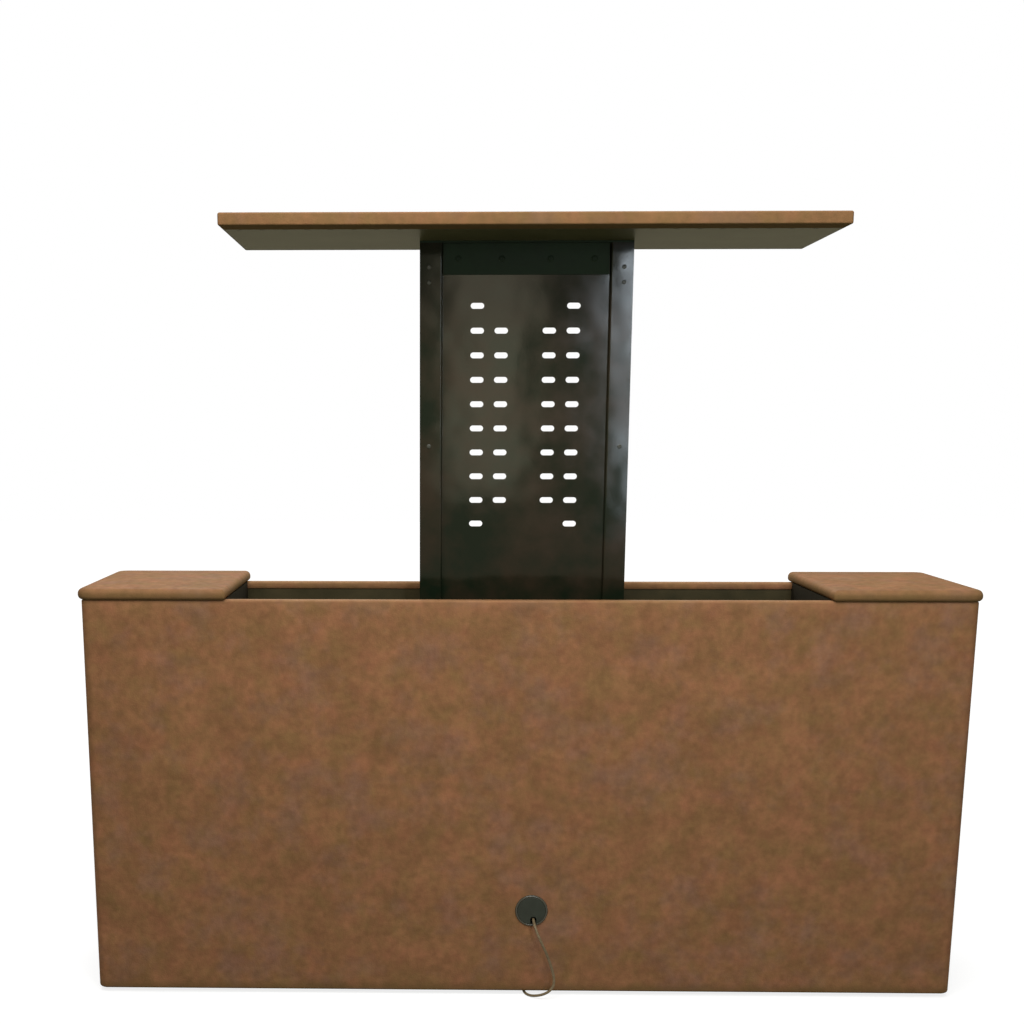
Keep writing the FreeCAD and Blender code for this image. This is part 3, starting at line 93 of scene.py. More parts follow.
class SteelSettings(bpy.types.PropertyGroup):
    coat: StringProperty(name="Coat", description="Colour of the powder coat", default="121A10")
    # The warm patches in the coat are a painted reflection of warm surroundings.
    coat_reflection_tint: StringProperty(
        name="Warm coat", description="Colour where the coat is thinner", default="292117")
    zinc: StringProperty(name="Zinc", description="Colour of the zinc plate", default="B9BBB8")
    coat_roughness: FloatProperty(
        name="Coat roughness", description="Gloss of the powder coat", default=0.10, subtype="FACTOR",
        min=0, max=1)


class TrimSettings(bpy.types.PropertyGroup):
    staple_pitch: FloatProperty(
        name="Staple pitch", description="Distance between staples", default=0.045, unit="LENGTH")
    relief_ribs: IntProperty(
        name="Relief ribs", description="Ribs of the plug's strain relief", default=6, min=2)


class StageSettings(bpy.types.PropertyGroup):
    lens: FloatProperty(name="Lens", description="Focal length", default=45.98, unit="CAMERA")
    tilt: FloatProperty(
        name="Tilt", description="Camera's downward tilt", default=0.1899, subtype="ANGLE")
    turn: FloatProperty(
        name="Turn", description="Camera's turn to the left", default=0.0182, subtype="ANGLE")
    key: FloatProperty(
        name="Key", description="Power of the lamp over the cable side", default=72.0, unit="POWER")
    back: FloatProperty(
        name="Back", description="Power of the lamp over the other side", default=60.0, unit="POWER")
    front: FloatProperty(
        name="Front", description="Power of the dim panel by the camera", default=4.8, unit="POWER")
    strip: FloatProperty(
        name="Strip", description="Power of the narrow lights beside it", default=16.0, unit="POWER")
    fill: FloatProperty(name="Fill", description="Level of the light from all round", default=0.27, min=0)
    mirrored: StringProperty(
        name="Mirrored", description="Colour of the surroundings in reflections", default="E8DEBE")
    floor_glow: FloatProperty(
        name="Floor glow", description="How far the floor near the cabinet is lifted to white",
        default=0.80, subtype="FACTOR", min=0, max=1)


class CabinetSettings(bpy.types.PropertyGroup):
    leather: PointerProperty(type=LeatherSettings)
    steel: PointerProperty(type=SteelSettings)
    trim: PointerProperty(type=TrimSettings)
    stage: PointerProperty(type=StageSettings)


def settings():
    return bpy.context.scene.lift_cabinet


# ---------------------------------------------------------------- nodes and colours

# A Mix node's colour sockets go by number, because their names repeat.
MIX_A, MIX_B, MIX_OUT = 6, 7, 2


def colour(code):
    """Linear colour of an sRGB hex value."""
    parts = [int(code[at:at + 2], 16) / 255 for at in (0, 2, 4)]
    return [part / 12.92 if part <= 0.04045 else ((part + 0.055) / 1.055) ** 2.4 for part in parts] + [1.0]


def add(tree, kind, feeds=None, out=None, **values):
    """Add a node, set its properties, set or link its inputs, and give it or one of its outputs."""
    item = tree.nodes.new(kind)
    for name, value in values.items():
        setattr(item, name, value)
    for name, value in (feeds or {}).items():
        if isinstance(value, bpy.types.NodeSocket):
            tree.links.new(value, item.inputs[name])
        else:
            item.inputs[name].default_value = value
    return item if out is None else item.outputs[out]


def clouds(tree, place, size, detail=3.0, roughness=0.5, ends=(0.0, 1.0), reach=(0.3, 0.7)):
    """A value that drifts between two ends in blotches about size metres wide; reach sets how sharply."""
    field = add(tree, "ShaderNodeTexNoise", {"Vector": place, "Scale": 1 / size, "Detail": detail,
                                             "Roughness": roughness}, "Fac")
    return add(tree, "ShaderNodeMapRange", {"Value": field, "From Min": reach[0], "From Max": reach[1],
                                            "To Min": ends[0], "To Max": ends[1]}, "Result")


def two_tones(tree, place, size, first, second, detail=3.0, roughness=0.5, reach=(0.3, 0.7)):
    """Two colours that drift into each other in such blotches."""
    share = clouds(tree, place, size, detail, roughness, reach=reach)
    return add(tree, "ShaderNodeMix", {0: share, MIX_A: colour(first), MIX_B: colour(second)}, MIX_OUT,
               data_type="RGBA")


def clouded(tree, place, size, first, second, gloss, detail=3.0, roughness=0.5, reach=(0.3, 0.7)):
    """A colour and a roughness that drift together, each between its two ends."""
    return {"Base Color": two_tones(tree, place, size, first, second, detail, roughness, reach),
            "Roughness": clouds(tree, place, size, detail, roughness, gloss)}


def relief(tree, place, size, depth, detail=3.0, roughness=0.5, over=None):
    """Soft bumps about size metres wide and depth metres high, on top of another relief if there is one."""
    field = add(tree, "ShaderNodeTexNoise", {"Vector": place, "Scale": 1 / size, "Detail": detail,
                                             "Roughness": roughness}, "Fac")
    feeds = {"Height": field, "Distance": depth, "Strength": 1.0}
    if over is not None:
        feeds["Normal"] = over
    return add(tree, "ShaderNodeBump", feeds, "Normal")


def finish(name, **values):
    """Turn a function that lays out a pattern into one that gives the material of that name: the values go on
    its shader, and the pattern feeds the sockets that it names."""
    def dressed(pattern):
        def material():
            known = bpy.data.materials.get(name)
            if known is not None:
                return known
            made = bpy.data.materials.new(name)
            made.use_nodes = True
            tree = made.node_tree
            shader = tree.nodes["Principled BSDF"]
            for socket, value in values.items():
                shader.inputs[socket.replace("_", " ")].default_value = value
            place = add(tree, "ShaderNodeTexCoord", None, "Object")
            for socket, source in pattern(tree, place).items():
                tree.links.new(source, shader.inputs[socket])
            return made

        return material

    return dressed


# ---------------------------------------------------------------- materials

@finish("mottled_bonded_leather", IOR=1.5, Specular_IOR_Level=0.04)
def mottled_leather(tree, place):
    """Bonded upholstery leather, embossed and antique-coloured: soft two-tone blotches, a pebble grain, pale
    edges lightened for wear and, on the chest's far rim, as a painted highlight, and painted shade on its
    turned-under borders, lower edges, sides and foot."""
    use = settings().leather
    aside = add(tree, "ShaderNodeMapping", {"Vector": place, "Location": (3.1, 1.7, 5.3)}, "Vector")
    plums = clouds(tree, aside, use.patch * 1.6, 4.0, 0.6, (0.0, 0.7), (0.5, 0.75))
    fleck = clouds(tree, aside, use.fleck, ends=(0.86, 1.14))
    shade = clouds(tree, place, 0.08, 4.0, 0.55, (0.89, 1.11))
    level = add(tree, "ShaderNodeMath", {0: fleck, 1: shade}, 0, operation="MULTIPLY")
    patchy = clouds(tree, place, 0.02, ends=(0.35, 0.9))
    # Lightened towards the wear colour by the rub_and_highlight attribute: wear on edges and, on the chest's
    # far rim, a painted highlight.
    rub_and_highlight = add(tree, "ShaderNodeAttribute", None, "Fac", attribute_name="rub_and_highlight")
    rub_and_highlight = add(tree, "ShaderNodeMath", {0: rub_and_highlight, 1: patchy}, 0, operation="MULTIPLY")
    # The tuck attribute darkens towards the painted_shade colour: painted shade on borders, lower edges,
    # sides, the chest's foot and the lid's near strip.
    under = add(tree, "ShaderNodeAttribute", None, "Fac", attribute_name="tuck")
    tone = two_tones(tree, place, use.patch, use.olive, use.red, 5.0, 0.58, (0.34, 0.66))
    for share, layer, way in ((plums, colour(use.plum), "MIX"), (1.0, level, "MULTIPLY"),
                              (rub_and_highlight, colour(use.rubbed_and_highlit), "MIX"), (under, colour(use.painted_shade), "MIX")):
        tone = add(tree, "ShaderNodeMix", {0: share, MIX_A: tone, MIX_B: layer}, MIX_OUT, data_type="RGBA",
                   blend_type=way)
    gloss = clouds(tree, place, 0.018, 4.0, 0.5, (0.50, 0.64))
    gloss = add(tree, "ShaderNodeMath", {0: gloss, 1: under}, 0, operation="MAXIMUM")
    pebble = add(tree, "ShaderNodeTexVoronoi", {"Vector": place, "Scale": 1 / use.grain, "Smoothness": 0.6},
                 "Distance", feature="SMOOTH_F1")
    creases = relief(tree, place, 0.018, 0.0006, 4.0)
    grain = add(tree, "ShaderNodeBump", {"Height": pebble, "Distance": 0.00028, "Strength": 1.0,
                                         "Normal": creases}, "Normal")
    return {"Base Color": tone, "Roughness": gloss, "Normal": grain}


@finish("black_powder_coat", IOR=1.5, Specular_IOR_Level=0.15)
def powder_coat(tree, place):
    """Semi-gloss black polyester powder on folded steel: a faint orange peel, uneven soft reflections from
    its varying gloss, and warm patches that are a painted reflection of warm surroundings."""
    use = settings().steel
    gloss = (use.coat_roughness - 0.02, use.coat_roughness + 0.06)
    waves = relief(tree, place, 0.16, 0.0020, 2.0)
    return {"Base Color": two_tones(tree, place, 0.11, use.coat, use.coat_reflection_tint, 4.0, 0.6, (0.35, 0.65)),
            "Roughness": clouds(tree, place, 0.11, 4.0, 0.6, gloss, (0.35, 0.7)),
            "Normal": relief(tree, place, 0.0045, 0.00002, 2.0, over=waves)}


@finish("dull_black_primer", IOR=1.5, Specular_IOR_Level=0.08)
def bracket_coat(tree, place):
    """Dull black primer on the welded bracket: darker and flatter than the powder coat beside it."""
    return {**clouded(tree, place, 0.05, "1B2519", "222E20", (0.5, 0.62), 4.0, 0.6, (0.35, 0.65)),
            "Normal": relief(tree, place, 0.002, 0.00005)}


@finish("black_oxide_screw", IOR=1.5, Specular_IOR_Level=0.4)
def black_oxide(tree, place):
    """Black oxide on steel screws: a dark, slightly oily skin that keeps a small dull highlight."""
    return clouded(tree, place, 0.003, "24261F", "31332A", (0.3, 0.45))


@finish("bright_zinc_plate", Metallic=1.0)
def zinc_plate(tree, place):
    """Bright zinc plate on cold-rolled steel: a cool grey metal with faint rolling streaks and cloudy
    dulling."""
    rolled = add(tree, "ShaderNodeMapping", {"Vector": place, "Scale": (1.0, 1.0, 0.04)}, "Vector")
    return {**clouded(tree, place, 0.03, settings().steel.zinc, "9C9FA0", (0.28, 0.45), 4.0,
                      reach=(0.35, 0.65)),
            "Normal": relief(tree, rolled, 0.0015, 0.00004)}


@finish("black_tube_enamel", IOR=1.5)
def tube_enamel(tree, place):
    """Black e-coat on drawn tube: smoother than the powder, with long faint draw lines."""
    drawn = add(tree, "ShaderNodeMapping", {"Vector": place, "Scale": (1.0, 1.0, 0.02)}, "Vector")
    return {"Base Color": two_tones(tree, place, 0.05, "1A1A1B", "26272A"),
            "Roughness": clouds(tree, drawn, 0.002, 2.0, ends=(0.22, 0.34)),
            "Normal": relief(tree, drawn, 0.002, 0.00003, 2.0)}


@finish("film_faced_plywood", IOR=1.5, Specular_IOR_Level=0.12)
def filmed_plywood(tree, place):
    """Birch plywood faced with a dark resin film: near-black faces with a fine mesh print, dull and even."""
    mesh_pitch = 0.004
    wire = add(tree, "ShaderNodeTexVoronoi", {"Vector": place, "Scale": 1 / mesh_pitch}, "Distance")
    print_mark = add(tree, "ShaderNodeBump", {"Height": wire, "Distance": 0.00008, "Strength": 1.0}, "Normal")
    return {**clouded(tree, place, 0.06, "2E2A19", "3F3723", (0.5, 0.66), 4.0), "Normal": print_mark}


@finish("near_black_plywood", IOR=1.5, Specular_IOR_Level=0.1)
def darker_plywood(tree, place):
    """Birch plywood in a near-black tone, darker than the film-faced boards: the grain shows faintly and the
    face hardly shines.
    """
    along = add(tree, "ShaderNodeMapping", {"Vector": place, "Scale": (1.0, 1.0, 0.1)}, "Vector")
    return clouded(tree, along, 0.006, "1A1811", "26221A", (0.6, 0.75), 4.0)


@finish("planed_pine", IOR=1.5)
def planed_pine(tree, place):
    """Planed pine: pale yellow wood with darker growth lines along the length and a dull oiled look."""
    # The wave runs through one ring in 6.28 units.
    ring_width = 0.012
    along = add(tree, "ShaderNodeMapping", {"Vector": place, "Scale": (0.05, 1.0, 1.0)}, "Vector")
    swirl = add(tree, "ShaderNodeTexWave", {
        "Vector": along, "Scale": 1 / ring_width / 6.28, "Distortion": 5.0, "Detail": 3.0,
        "Detail Scale": 1.6}, "Fac", wave_type="RINGS", rings_direction="X")
    rings = add(tree, "ShaderNodeMapRange", {"Value": swirl, "From Min": 0.45, "From Max": 0.95}, "Result")
    pores = clouds(tree, along, 0.0018, 4.0, ends=(0.0, 0.4), reach=(0.45, 0.8))
    tone = colour("C9A472")
    for share, layer in ((rings, "A57A48"), (pores, "8C6438")):
        tone = add(tree, "ShaderNodeMix", {0: share, MIX_A: tone, MIX_B: colour(layer)}, MIX_OUT,
                   data_type="RGBA")
    return {"Base Color": tone, "Roughness": clouds(tree, along, 0.0018, 4.0, ends=(0.52, 0.7)),
            "Normal": relief(tree, along, 0.0018, 0.0002, 4.0)}


@finish("calendered_lining_cloth", Roughness=0.38, IOR=1.5, Specular_IOR_Level=0.012)
def lining_cloth(tree, place):
    """Calendered lining cloth in dark olive: a tight plain weave pressed flat, which shines only at a low
    angle."""
    # The real threads are 0.5 mm apart; here they are 2 mm, coarse enough to show.
    threads = 80.0
    along, across = [add(tree, "ShaderNodeTexWave", {"Vector": place, "Scale": threads, "Distortion": 0.6},
                         "Fac", bands_direction=way) for way in ("X", "Y")]
    weave = add(tree, "ShaderNodeMath", {0: along, 1: across}, 0, operation="MULTIPLY")
    gaps = add(tree, "ShaderNodeMapRange", {"Value": weave, "To Min": 0.2, "To Max": 0.0}, "Result")
    tone = add(tree, "ShaderNodeMix", {0: gaps, MIX_A: two_tones(tree, place, 0.09, "504F30", "5A593A"),
                                       MIX_B: colour("343422")}, MIX_OUT, data_type="RGBA")
    pressed = add(tree, "ShaderNodeBump", {"Height": weave, "Distance": 0.00006, "Strength": 1.0}, "Normal")
    return {"Base Color": tone, "Normal": pressed}


@finish("moulded_black_abs", IOR=1.54, Specular_IOR_Level=0.3)
def moulded_plastic(tree, place):
    """Injection-moulded ABS in black: a fine spark-eroded texture that breaks up its highlights."""
    return {**clouded(tree, place, 0.02, "161C16", "1F251E", (0.40, 0.52)),
            "Normal": relief(tree, place, 0.0012, 0.00008, 3.0, 0.7)}


@finish("satin_grommet_ring", IOR=1.54, Specular_IOR_Level=0.4)
def ring_plastic(tree, place):
    """The grommet's ring in a shinier moulding than its cap, so that its rounded rim catches the light."""
    return clouded(tree, place, 0.01, "302F27", "3B392F", (0.20, 0.28))


@finish("natural_nylon", IOR=1.53, Subsurface_Weight=0.08, Subsurface_Scale=0.002)
def slide_nylon(tree, place):
    """Natural cast nylon: off-white and waxy, with a soft glow through its skin."""
    return clouded(tree, place, 0.012, "D8D4C6", "C7C2B0", (0.38, 0.5))


@finish("dark_drive_enamel", IOR=1.5)
def drive_enamel(tree, place):
    """Baked enamel over a die-cast case: dark grey with the casting's faint pitting."""
    return {"Base Color": two_tones(tree, place, 0.03, "2B2D2F", "36383A"),
            "Roughness": clouds(tree, place, 0.0022, 4.0, 0.6, (0.34, 0.5)),
            "Normal": relief(tree, place, 0.0022, 0.00012, 4.0, 0.6)}


@finish("green_solder_mask", Roughness=0.28, IOR=1.5)
def solder_mask(tree, place):
    """Green solder mask over copper tracks: a glossy green board with slightly raised lines."""
    track = add(tree, "ShaderNodeTexBrick", {
        "Vector": place, "Scale": 90.0, "Mortar Size": 0.03, "Color1": colour("17522F"),
        "Color2": colour("1B5B35"), "Mortar": colour("2F7A4C")})
    raised = add(tree, "ShaderNodeBump", {"Height": track.outputs["Fac"], "Distance": 0.00005,
                                          "Strength": 1.0}, "Normal")
    return {"Base Color": track.outputs["Color"], "Normal": raised}


@finish("warm_grey_pvc", IOR=1.52, Specular_IOR_Level=0.25)
def cord_jacket(tree, place):
    """Soft PVC cord jacket in warm grey: satin, with a faint dusting that dulls it along its length."""
    return {**clouded(tree, place, 0.006, "66573F", "796A51", (0.36, 0.55), 4.0, reach=(0.35, 0.7)),
            "Normal": relief(tree, place, 0.006, 0.00006, 4.0)}


@finish("black_pvc", IOR=1.52)
def black_jacket(tree, place):
    """Black PVC of the held leads: satin and even, with a little dust in the hollows."""
    return clouded(tree, place, 0.006, "1B1B1B", "2B2A28", (0.36, 0.5), 4.0, reach=(0.35, 0.7))


@finish("nickel_plated_brass", Metallic=1.0)
def blade_metal(tree, place):
    """Nickel-plated brass of the plug's blades: a warm bright metal with slide marks along it."""
    along = add(tree, "ShaderNodeMapping", {"Vector": place, "Scale": (0.05, 1.0, 1.0)}, "Vector")
    return clouded(tree, along, 0.0008, "C8C2B2", "AFA893", (0.2, 0.34))


SLOT_FINISHES = {
    "board": filmed_plywood, "timber": planed_pine, "leather": mottled_leather, "lining": lining_cloth,
    "nylon": slide_nylon, "black_steel": powder_coat, "plated_steel": zinc_plate, "tube_steel": tube_enamel,
    "zinc": zinc_plate, "black_oxide": black_oxide, "drive_housing": drive_enamel,
    "black_plastic": moulded_plastic, "circuit": solder_mask, "cord_jacket": black_jacket,
}
NODE_FINISHES = {
    "lid_bracket": bracket_coat, "bracket_bolts": bracket_coat, "partition_left": darker_plywood,
    "partition_right": darker_plywood,
}


# ---------------------------------------------------------------- pieces

def raw_mesh(name, verts, faces=(), edges=()):
    """A mesh as it is listed."""
    mesh = bpy.data.meshes.new(name)
    mesh.from_pydata([tuple(vert) for vert in verts], list(edges), list(faces))
    return mesh


def loose_object(name, data):
    """An object in the scene that no body carries yet."""
    item = bpy.data.objects.new(name, data)
    bpy.context.collection.objects.link(item)
    return item


def settle(name, mesh, body, material, crease=40):
    """Turn a mesh's faces outwards, shade it smooth but for creases of more degrees than crease, and give it
    its object, body, slot and material."""
    work = bmesh.new()
    work.from_mesh(mesh)
    bmesh.ops.remove_doubles(work, verts=work.verts, dist=1e-6)
    bmesh.ops.recalc_face_normals(work, faces=work.faces)
    work.normal_update()
    for edge in work.edges:
        edge.smooth = len(edge.link_faces) != 2 or edge.calc_face_angle(0.0) < math.radians(crease)
    for face in work.faces:
        face.smooth = True
    work.to_mesh(mesh)
    work.free()
    mesh.name = name
    mesh.materials.clear()
    mesh.materials.append(material)
    item = loose_object(name, mesh)
    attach(item, body)
    return item


def baked(item, name):
    """The plain mesh that an object's modifiers give; the object itself goes."""
    bpy.context.view_layer.update()
    mesh = bpy.data.meshes.new_from_object(item.evaluated_get(bpy.context.evaluated_depsgraph_get()))
    source = item.data
    bpy.data.objects.remove(item)
    if isinstance(source, bpy.types.Mesh):
        bpy.data.meshes.remove(source)
    mesh.name = name
    return mesh


class Plan:
    """A rounded rectangle in plan whose outline can be drawn at any distance in from its edge."""

    def __init__(self, low, high, radii, step=0.06, arc=7):
        self.low, self.high, self.radii, self.arc = low, high, radii, arc
        self.runs = [max(1, round((high[axis] - low[axis]) / step)) for axis in (0, 1, 0, 1)]

    def loop(self, inset, height):
        """Points round the outline, counter-clockwise from the near right corner."""
        (x0, y0), (x1, y1) = self.low, self.high
        corners = ((x1, y0, -90), (x1, y1, 0), (x0, y1, 90), (x0, y0, 180))
        arcs = []
        for (x, y, start), radius in zip(corners, self.radii):
            left = max(radius - inset, 0.0004)
            way_x = -1 if x == x1 else 1
            way_y = -1 if y == y1 else 1
            reach = inset + left
            centre = Vector((x + way_x * reach, y + way_y * reach, height))
            turns = [math.radians(start + 90 * number / self.arc) for number in range(self.arc + 1)]
            arcs.append([centre + Vector((math.cos(turn), math.sin(turn), 0)) * left for turn in turns])
        points = []
        for number, arc in enumerate(arcs):
            points += arc
            nearby = arcs[(number + 1) % 4][0]
            count = self.runs[(number + 1) % 4]
            points += [arc[-1].lerp(nearby, share / count) for share in range(1, count)]
        return points


def skinned(loops, cap_first=False, cap_last=False, closed=False):
    """Vertices and faces of a skin drawn through loops of equal length."""
    count = len(loops[0])
    verts = [vert for loop in loops for vert in loop]
    faces = []
    pairs = list(range(len(loops) - 1)) + ([len(loops) - 1] if closed else [])
    for row in pairs:
        above = (row + 1) % len(loops)
        for at in range(count):
            beside = (at + 1) % count
            faces.append((row * count + at, row * count + beside, above * count + beside, above * count + at))
    if cap_first:
        faces.append(tuple(range(count)))
    if cap_last:
        faces.append(tuple(range(len(verts) - count, len(verts))))
    return verts, faces


def joined_meshes(parts):
    """Join (verts, faces) pairs into one pair."""
    verts, faces = [], []
    for more_verts, more_faces in parts:
        shift = len(verts)
        verts += more_verts
        faces += [tuple(index + shift for index in face) for face in more_faces]
    return verts, faces


def lower_round(radius, level, count=6):
    """Rows of a quarter round that turns up from an underside into a side."""
    turns = [math.radians(90 * number / count) for number in range(count + 1)]
    return [(radius * (1 - math.sin(turn)), level + radius * (1 - math.cos(turn))) for turn in turns]


def upper_round(radius, level, count=8):
    """Rows of a quarter round that turns from a side into a top."""
    turns = [math.radians(90 * number / count) for number in range(count + 1)]
    return [(radius * (1 - math.cos(turn)), level - radius * (1 - math.sin(turn))) for turn in turns]


# ---------------------------------------------------------------- leather

def marked(item, name, test):
    """Mark how much each point of a leather piece is lightened for wear or painted highlight, or darkened by
    painted shade.
    """
    layer = item.data.attributes.new(name, "FLOAT", "POINT")
    for vert in item.data.vertices:
        layer.data[vert.index].value = max(0.0, min(1.0, test(vert.co)))


def chest_profile(use, low, rim, thick):
    """The wrap's section as distance in from the outer face, and height."""
    under, edge, rows_up = 0.020, 0.0045, 13
    inside = thick + use.skin
    hem = rim - use.turn_in
    rows = [(under, low - 0.0002), (under, low - 0.0012), (0.003, low - 0.0012), (0.0008, low + 0.0004),
            (0.0, low + 0.003)]
    rows += [(0.0, low + 0.02 + (rim - low - 0.04) * share / rows_up) for share in range(rows_up + 1)]
    turned = upper_round(edge, rim, 5)
    rows += turned + [(thick / 2, rim)] + [(inside - inset, height) for inset, height in reversed(turned)]
    rows += [(inside, rim - use.turn_in / 2), (inside - 0.0003, hem + 0.001), (inside - 0.0012, hem + 0.0002),
             (thick + 0.0003, hem + 0.0004), (thick + 0.0001, rim - 0.004), (thick, rim - use.skin),
             (use.skin, rim - use.skin), (use.skin, low), (under - 0.001, low)]
    return rows


def make_chest_leather():
    """One wrap over the four sides, turned in over the rim and under the foot, with the grommet's hole."""
    low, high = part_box("body_cover")
    near_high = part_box("near_board")[1]
    corner, plain, hole, rim_wear_and_highlight, foot_shade_reach = 0.020, 0.03, 0.0317, 0.006, 0.010
    dip_depth, dips_each_metre = 0.00045, 7.0
    plan = Plan((low[0], low[1]), (high[0], high[1]), [corner] * 4)
    profile = chest_profile(settings().leather, low[2], high[2], near_high[1] - low[1])
    verts, faces = skinned([plan.loop(inset, level) for inset, level in profile], closed=True)
    for vert in verts:
        outer = [axis for axis in (0, 1) if abs(abs(vert[axis]) - high[axis]) < 1e-6]
        if low[2] + plain < vert.z < high[2] - plain:
            dip = dip_depth * (1 + noise.noise(vert * dips_each_metre))
            for axis in outer:
                vert[axis] -= math.copysign(dip, vert[axis])
    wrap = loose_object("wrap", raw_mesh("wrap", verts, faces))
    ring_low, ring_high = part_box("grommet_ring")
    middle = [(one + other) / 2 for one, other in zip(ring_low, ring_high)]
    drill = bpy.data.meshes.new("drill")
    work = bmesh.new()
    place = Matrix.Translation((middle[0], low[1], middle[2])) @ Matrix.Rotation(math.pi / 2, 4, "X")
    bmesh.ops.create_cone(work, cap_ends=True, segments=48, radius1=hole, radius2=hole, depth=0.02,
                          matrix=place)
    work.to_mesh(drill)
    work.free()
    cutter = loose_object("drill", drill)
    bore = wrap.modifiers.new("bore", "BOOLEAN")
    bore.object, bore.operation, bore.solver = cutter, "DIFFERENCE", "EXACT"
    mesh = baked(wrap, "chest_leather")
    bpy.data.objects.remove(cutter)
    chest = settle("chest_leather", mesh, "cabinet", mottled_leather(), 50)
    # Wear along the top rim, lightened as a painted highlight more on the far rim than on the near one.
    marked(chest, "rub_and_highlight", lambda at: (at.z - high[2] + rim_wear_and_highlight) / rim_wear_and_highlight * (1.0 if at.y > 0 else 0.6))
    # Painted shade along the foot, darkest at its bottom edge.
    marked(chest, "tuck", lambda at: 0.7 - 0.7 * (at.z - low[2]) / foot_shade_reach)
    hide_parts("body_cover")


def padded_wrap(name, node, body, radii, base, top, crown, tuck, side_shade):
    """Leather drawn over a padded board: base and top round its edges, crown lifts its middle, its border is
    turned under, tuck above the node's underside, and side_shade darkens its sides as painted shade; its
    lower round is darkened as painted shade too."""
    use = settings().leather
    skin = use.skin
    rub_inset, rub_reach, rub_most = 0.003, 0.008, 0.3
    low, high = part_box(node)
    plan = Plan((low[0], low[1]), (high[0], high[1]), radii, step=0.05)
    level = high[2] - crown
    reach = min(high[0] - low[0], high[1] - low[1]) / 2 - top
    crowned = [(top + reach * share, level + crown * math.sin(share * math.pi / 2))
               for share in (0.10, 0.2, 0.35, 0.55, 0.75, 0.92)]
    rows = [(use.border, low[2] + tuck), (base + 0.0002, low[2] + tuck)]
    rows += lower_round(base, low[2]) + upper_round(top, level) + crowned
    inner = [(inset, height - skin) for inset, height in reversed(crowned)]
    for turned in (upper_round(top - skin, level - skin), lower_round(base - skin, low[2] + skin)):
        inner += [(inset + skin, height) for inset, height in reversed(turned)]
    inner.append((use.border - 0.0006, low[2] + skin))
    outside = skinned([plan.loop(inset, height) for inset, height in rows], cap_last=True)
    inside = skinned([plan.loop(inset, height) for inset, height in inner], cap_first=True)
    verts, faces = joined_meshes([outside, inside])
    count = len(plan.loop(0, 0))
    last = len(verts) - count
    faces += [(at, (at + 1) % count, last + (at + 1) % count, last + at) for at in range(count)]
    wrap = settle(name, raw_mesh(name, verts, faces), body, mottled_leather(), 60)

    def rub_and_highlight(at):
        near = min(at.x - low[0], high[0] - at.x, at.y - low[1], high[1] - at.y)
        return max(0.0, 1 - abs(near - rub_inset) / rub_reach) * rub_most if at.z > level - top * 0.8 else 0.0

    # Painted shade: darker down the sides below the top round, by side_shade, and fully dark on the lower
    # round towards the underside.
    def under(at):
        return max(side_shade * min(1.0, (level - at.z) / top), 1 - (at.z - low[2] - base * 0.15) / (base * 0.6))

    marked(wrap, "rub_and_highlight", rub_and_highlight)
    marked(wrap, "tuck", under)
    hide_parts(node)


def sheet_loops(plan, level, thick):
    """Loops of a thin sheet with an eased lower edge."""
    return [plan.loop(0.0004, level), plan.loop(0, level + 0.0003), plan.loop(0, level + thick)]


def make_lining():
    """The lid's lining: a deep leather strip along the near edge, darkened all over as painted shade, then
    cloth on a thin board, held by staples."""
    low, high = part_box("lid_lining")
    lid_low, lid_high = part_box("lid_cover")
    # near is how deep the strip of painted shade reaches in from the lid's near edge.
    side, near, sheet, play, staple_inset = 0.0038, 0.055, 0.0008, 0.0002, 0.006
    edge_low = (lid_low[0] + side, lid_low[1] + near)
    edge_high = (lid_high[0] - side, lid_high[1] - side)
    flange = Plan(edge_low, edge_high, [0.003] * 4, step=0.04)
    board = Plan((low[0] + play, edge_low[1]), (high[0] - play, high[1] - play), [0.002] * 4)
    board.runs = flange.runs
    loops = sheet_loops(flange, low[2], sheet) + [board.loop(0, low[2] + sheet), board.loop(0, high[2])]
    mesh = raw_mesh("lid_lining_cloth", *skinned(loops, True, True))
    lining = settle("lid_lining_cloth", mesh, "carriage", lining_cloth(), 20)
    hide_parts("lid_lining")
    strip = Plan((edge_low[0], lid_low[1] + side), (edge_high[0], edge_low[1] - 0.0003), [0.003] * 4,
                 step=0.04)
    mesh = raw_mesh("lid_shade_flap", *skinned(sheet_loops(strip, low[2], sheet), True, True))
    shade_flap = settle("lid_shade_flap", mesh, "carriage", mottled_leather(), 20)
    # The whole strip is painted shade.
    marked(shade_flap, "tuck", lambda at: 1.0)
    line = flange.loop(staple_inset, low[2])
    path = raw_mesh("staple_path", line, edges=[(at, (at + 1) % len(line)) for at in range(len(line))])
    mesh = grown(staple_tree(), loose_object("staple_path", path), black_oxide(), "lining_staples",
                 {"Pitch": settings().trim.staple_pitch, "Crown": 0.010, "Wire": 0.0004})
    settle("lining_staples", mesh, "carriage", black_oxide())


# ---------------------------------------------------------------- geometry nodes

def new_tree(name, inputs):
    """A geometry tree with named inputs; gives the tree, its input node and its output node."""
    tree = bpy.data.node_groups.new(name, "GeometryNodeTree")
    tree.interface.new_socket("Geometry", in_out="INPUT", socket_type="NodeSocketGeometry")
    tree.interface.new_socket("Geometry", in_out="OUTPUT", socket_type="NodeSocketGeometry")
    for label, kind, value in inputs:
        socket = tree.interface.new_socket(label, in_out="INPUT", socket_type="NodeSocket" + kind)
        if value is not None:
            socket.default_value = value
    return tree, tree.nodes.new("NodeGroupInput"), tree.nodes.new("NodeGroupOutput")


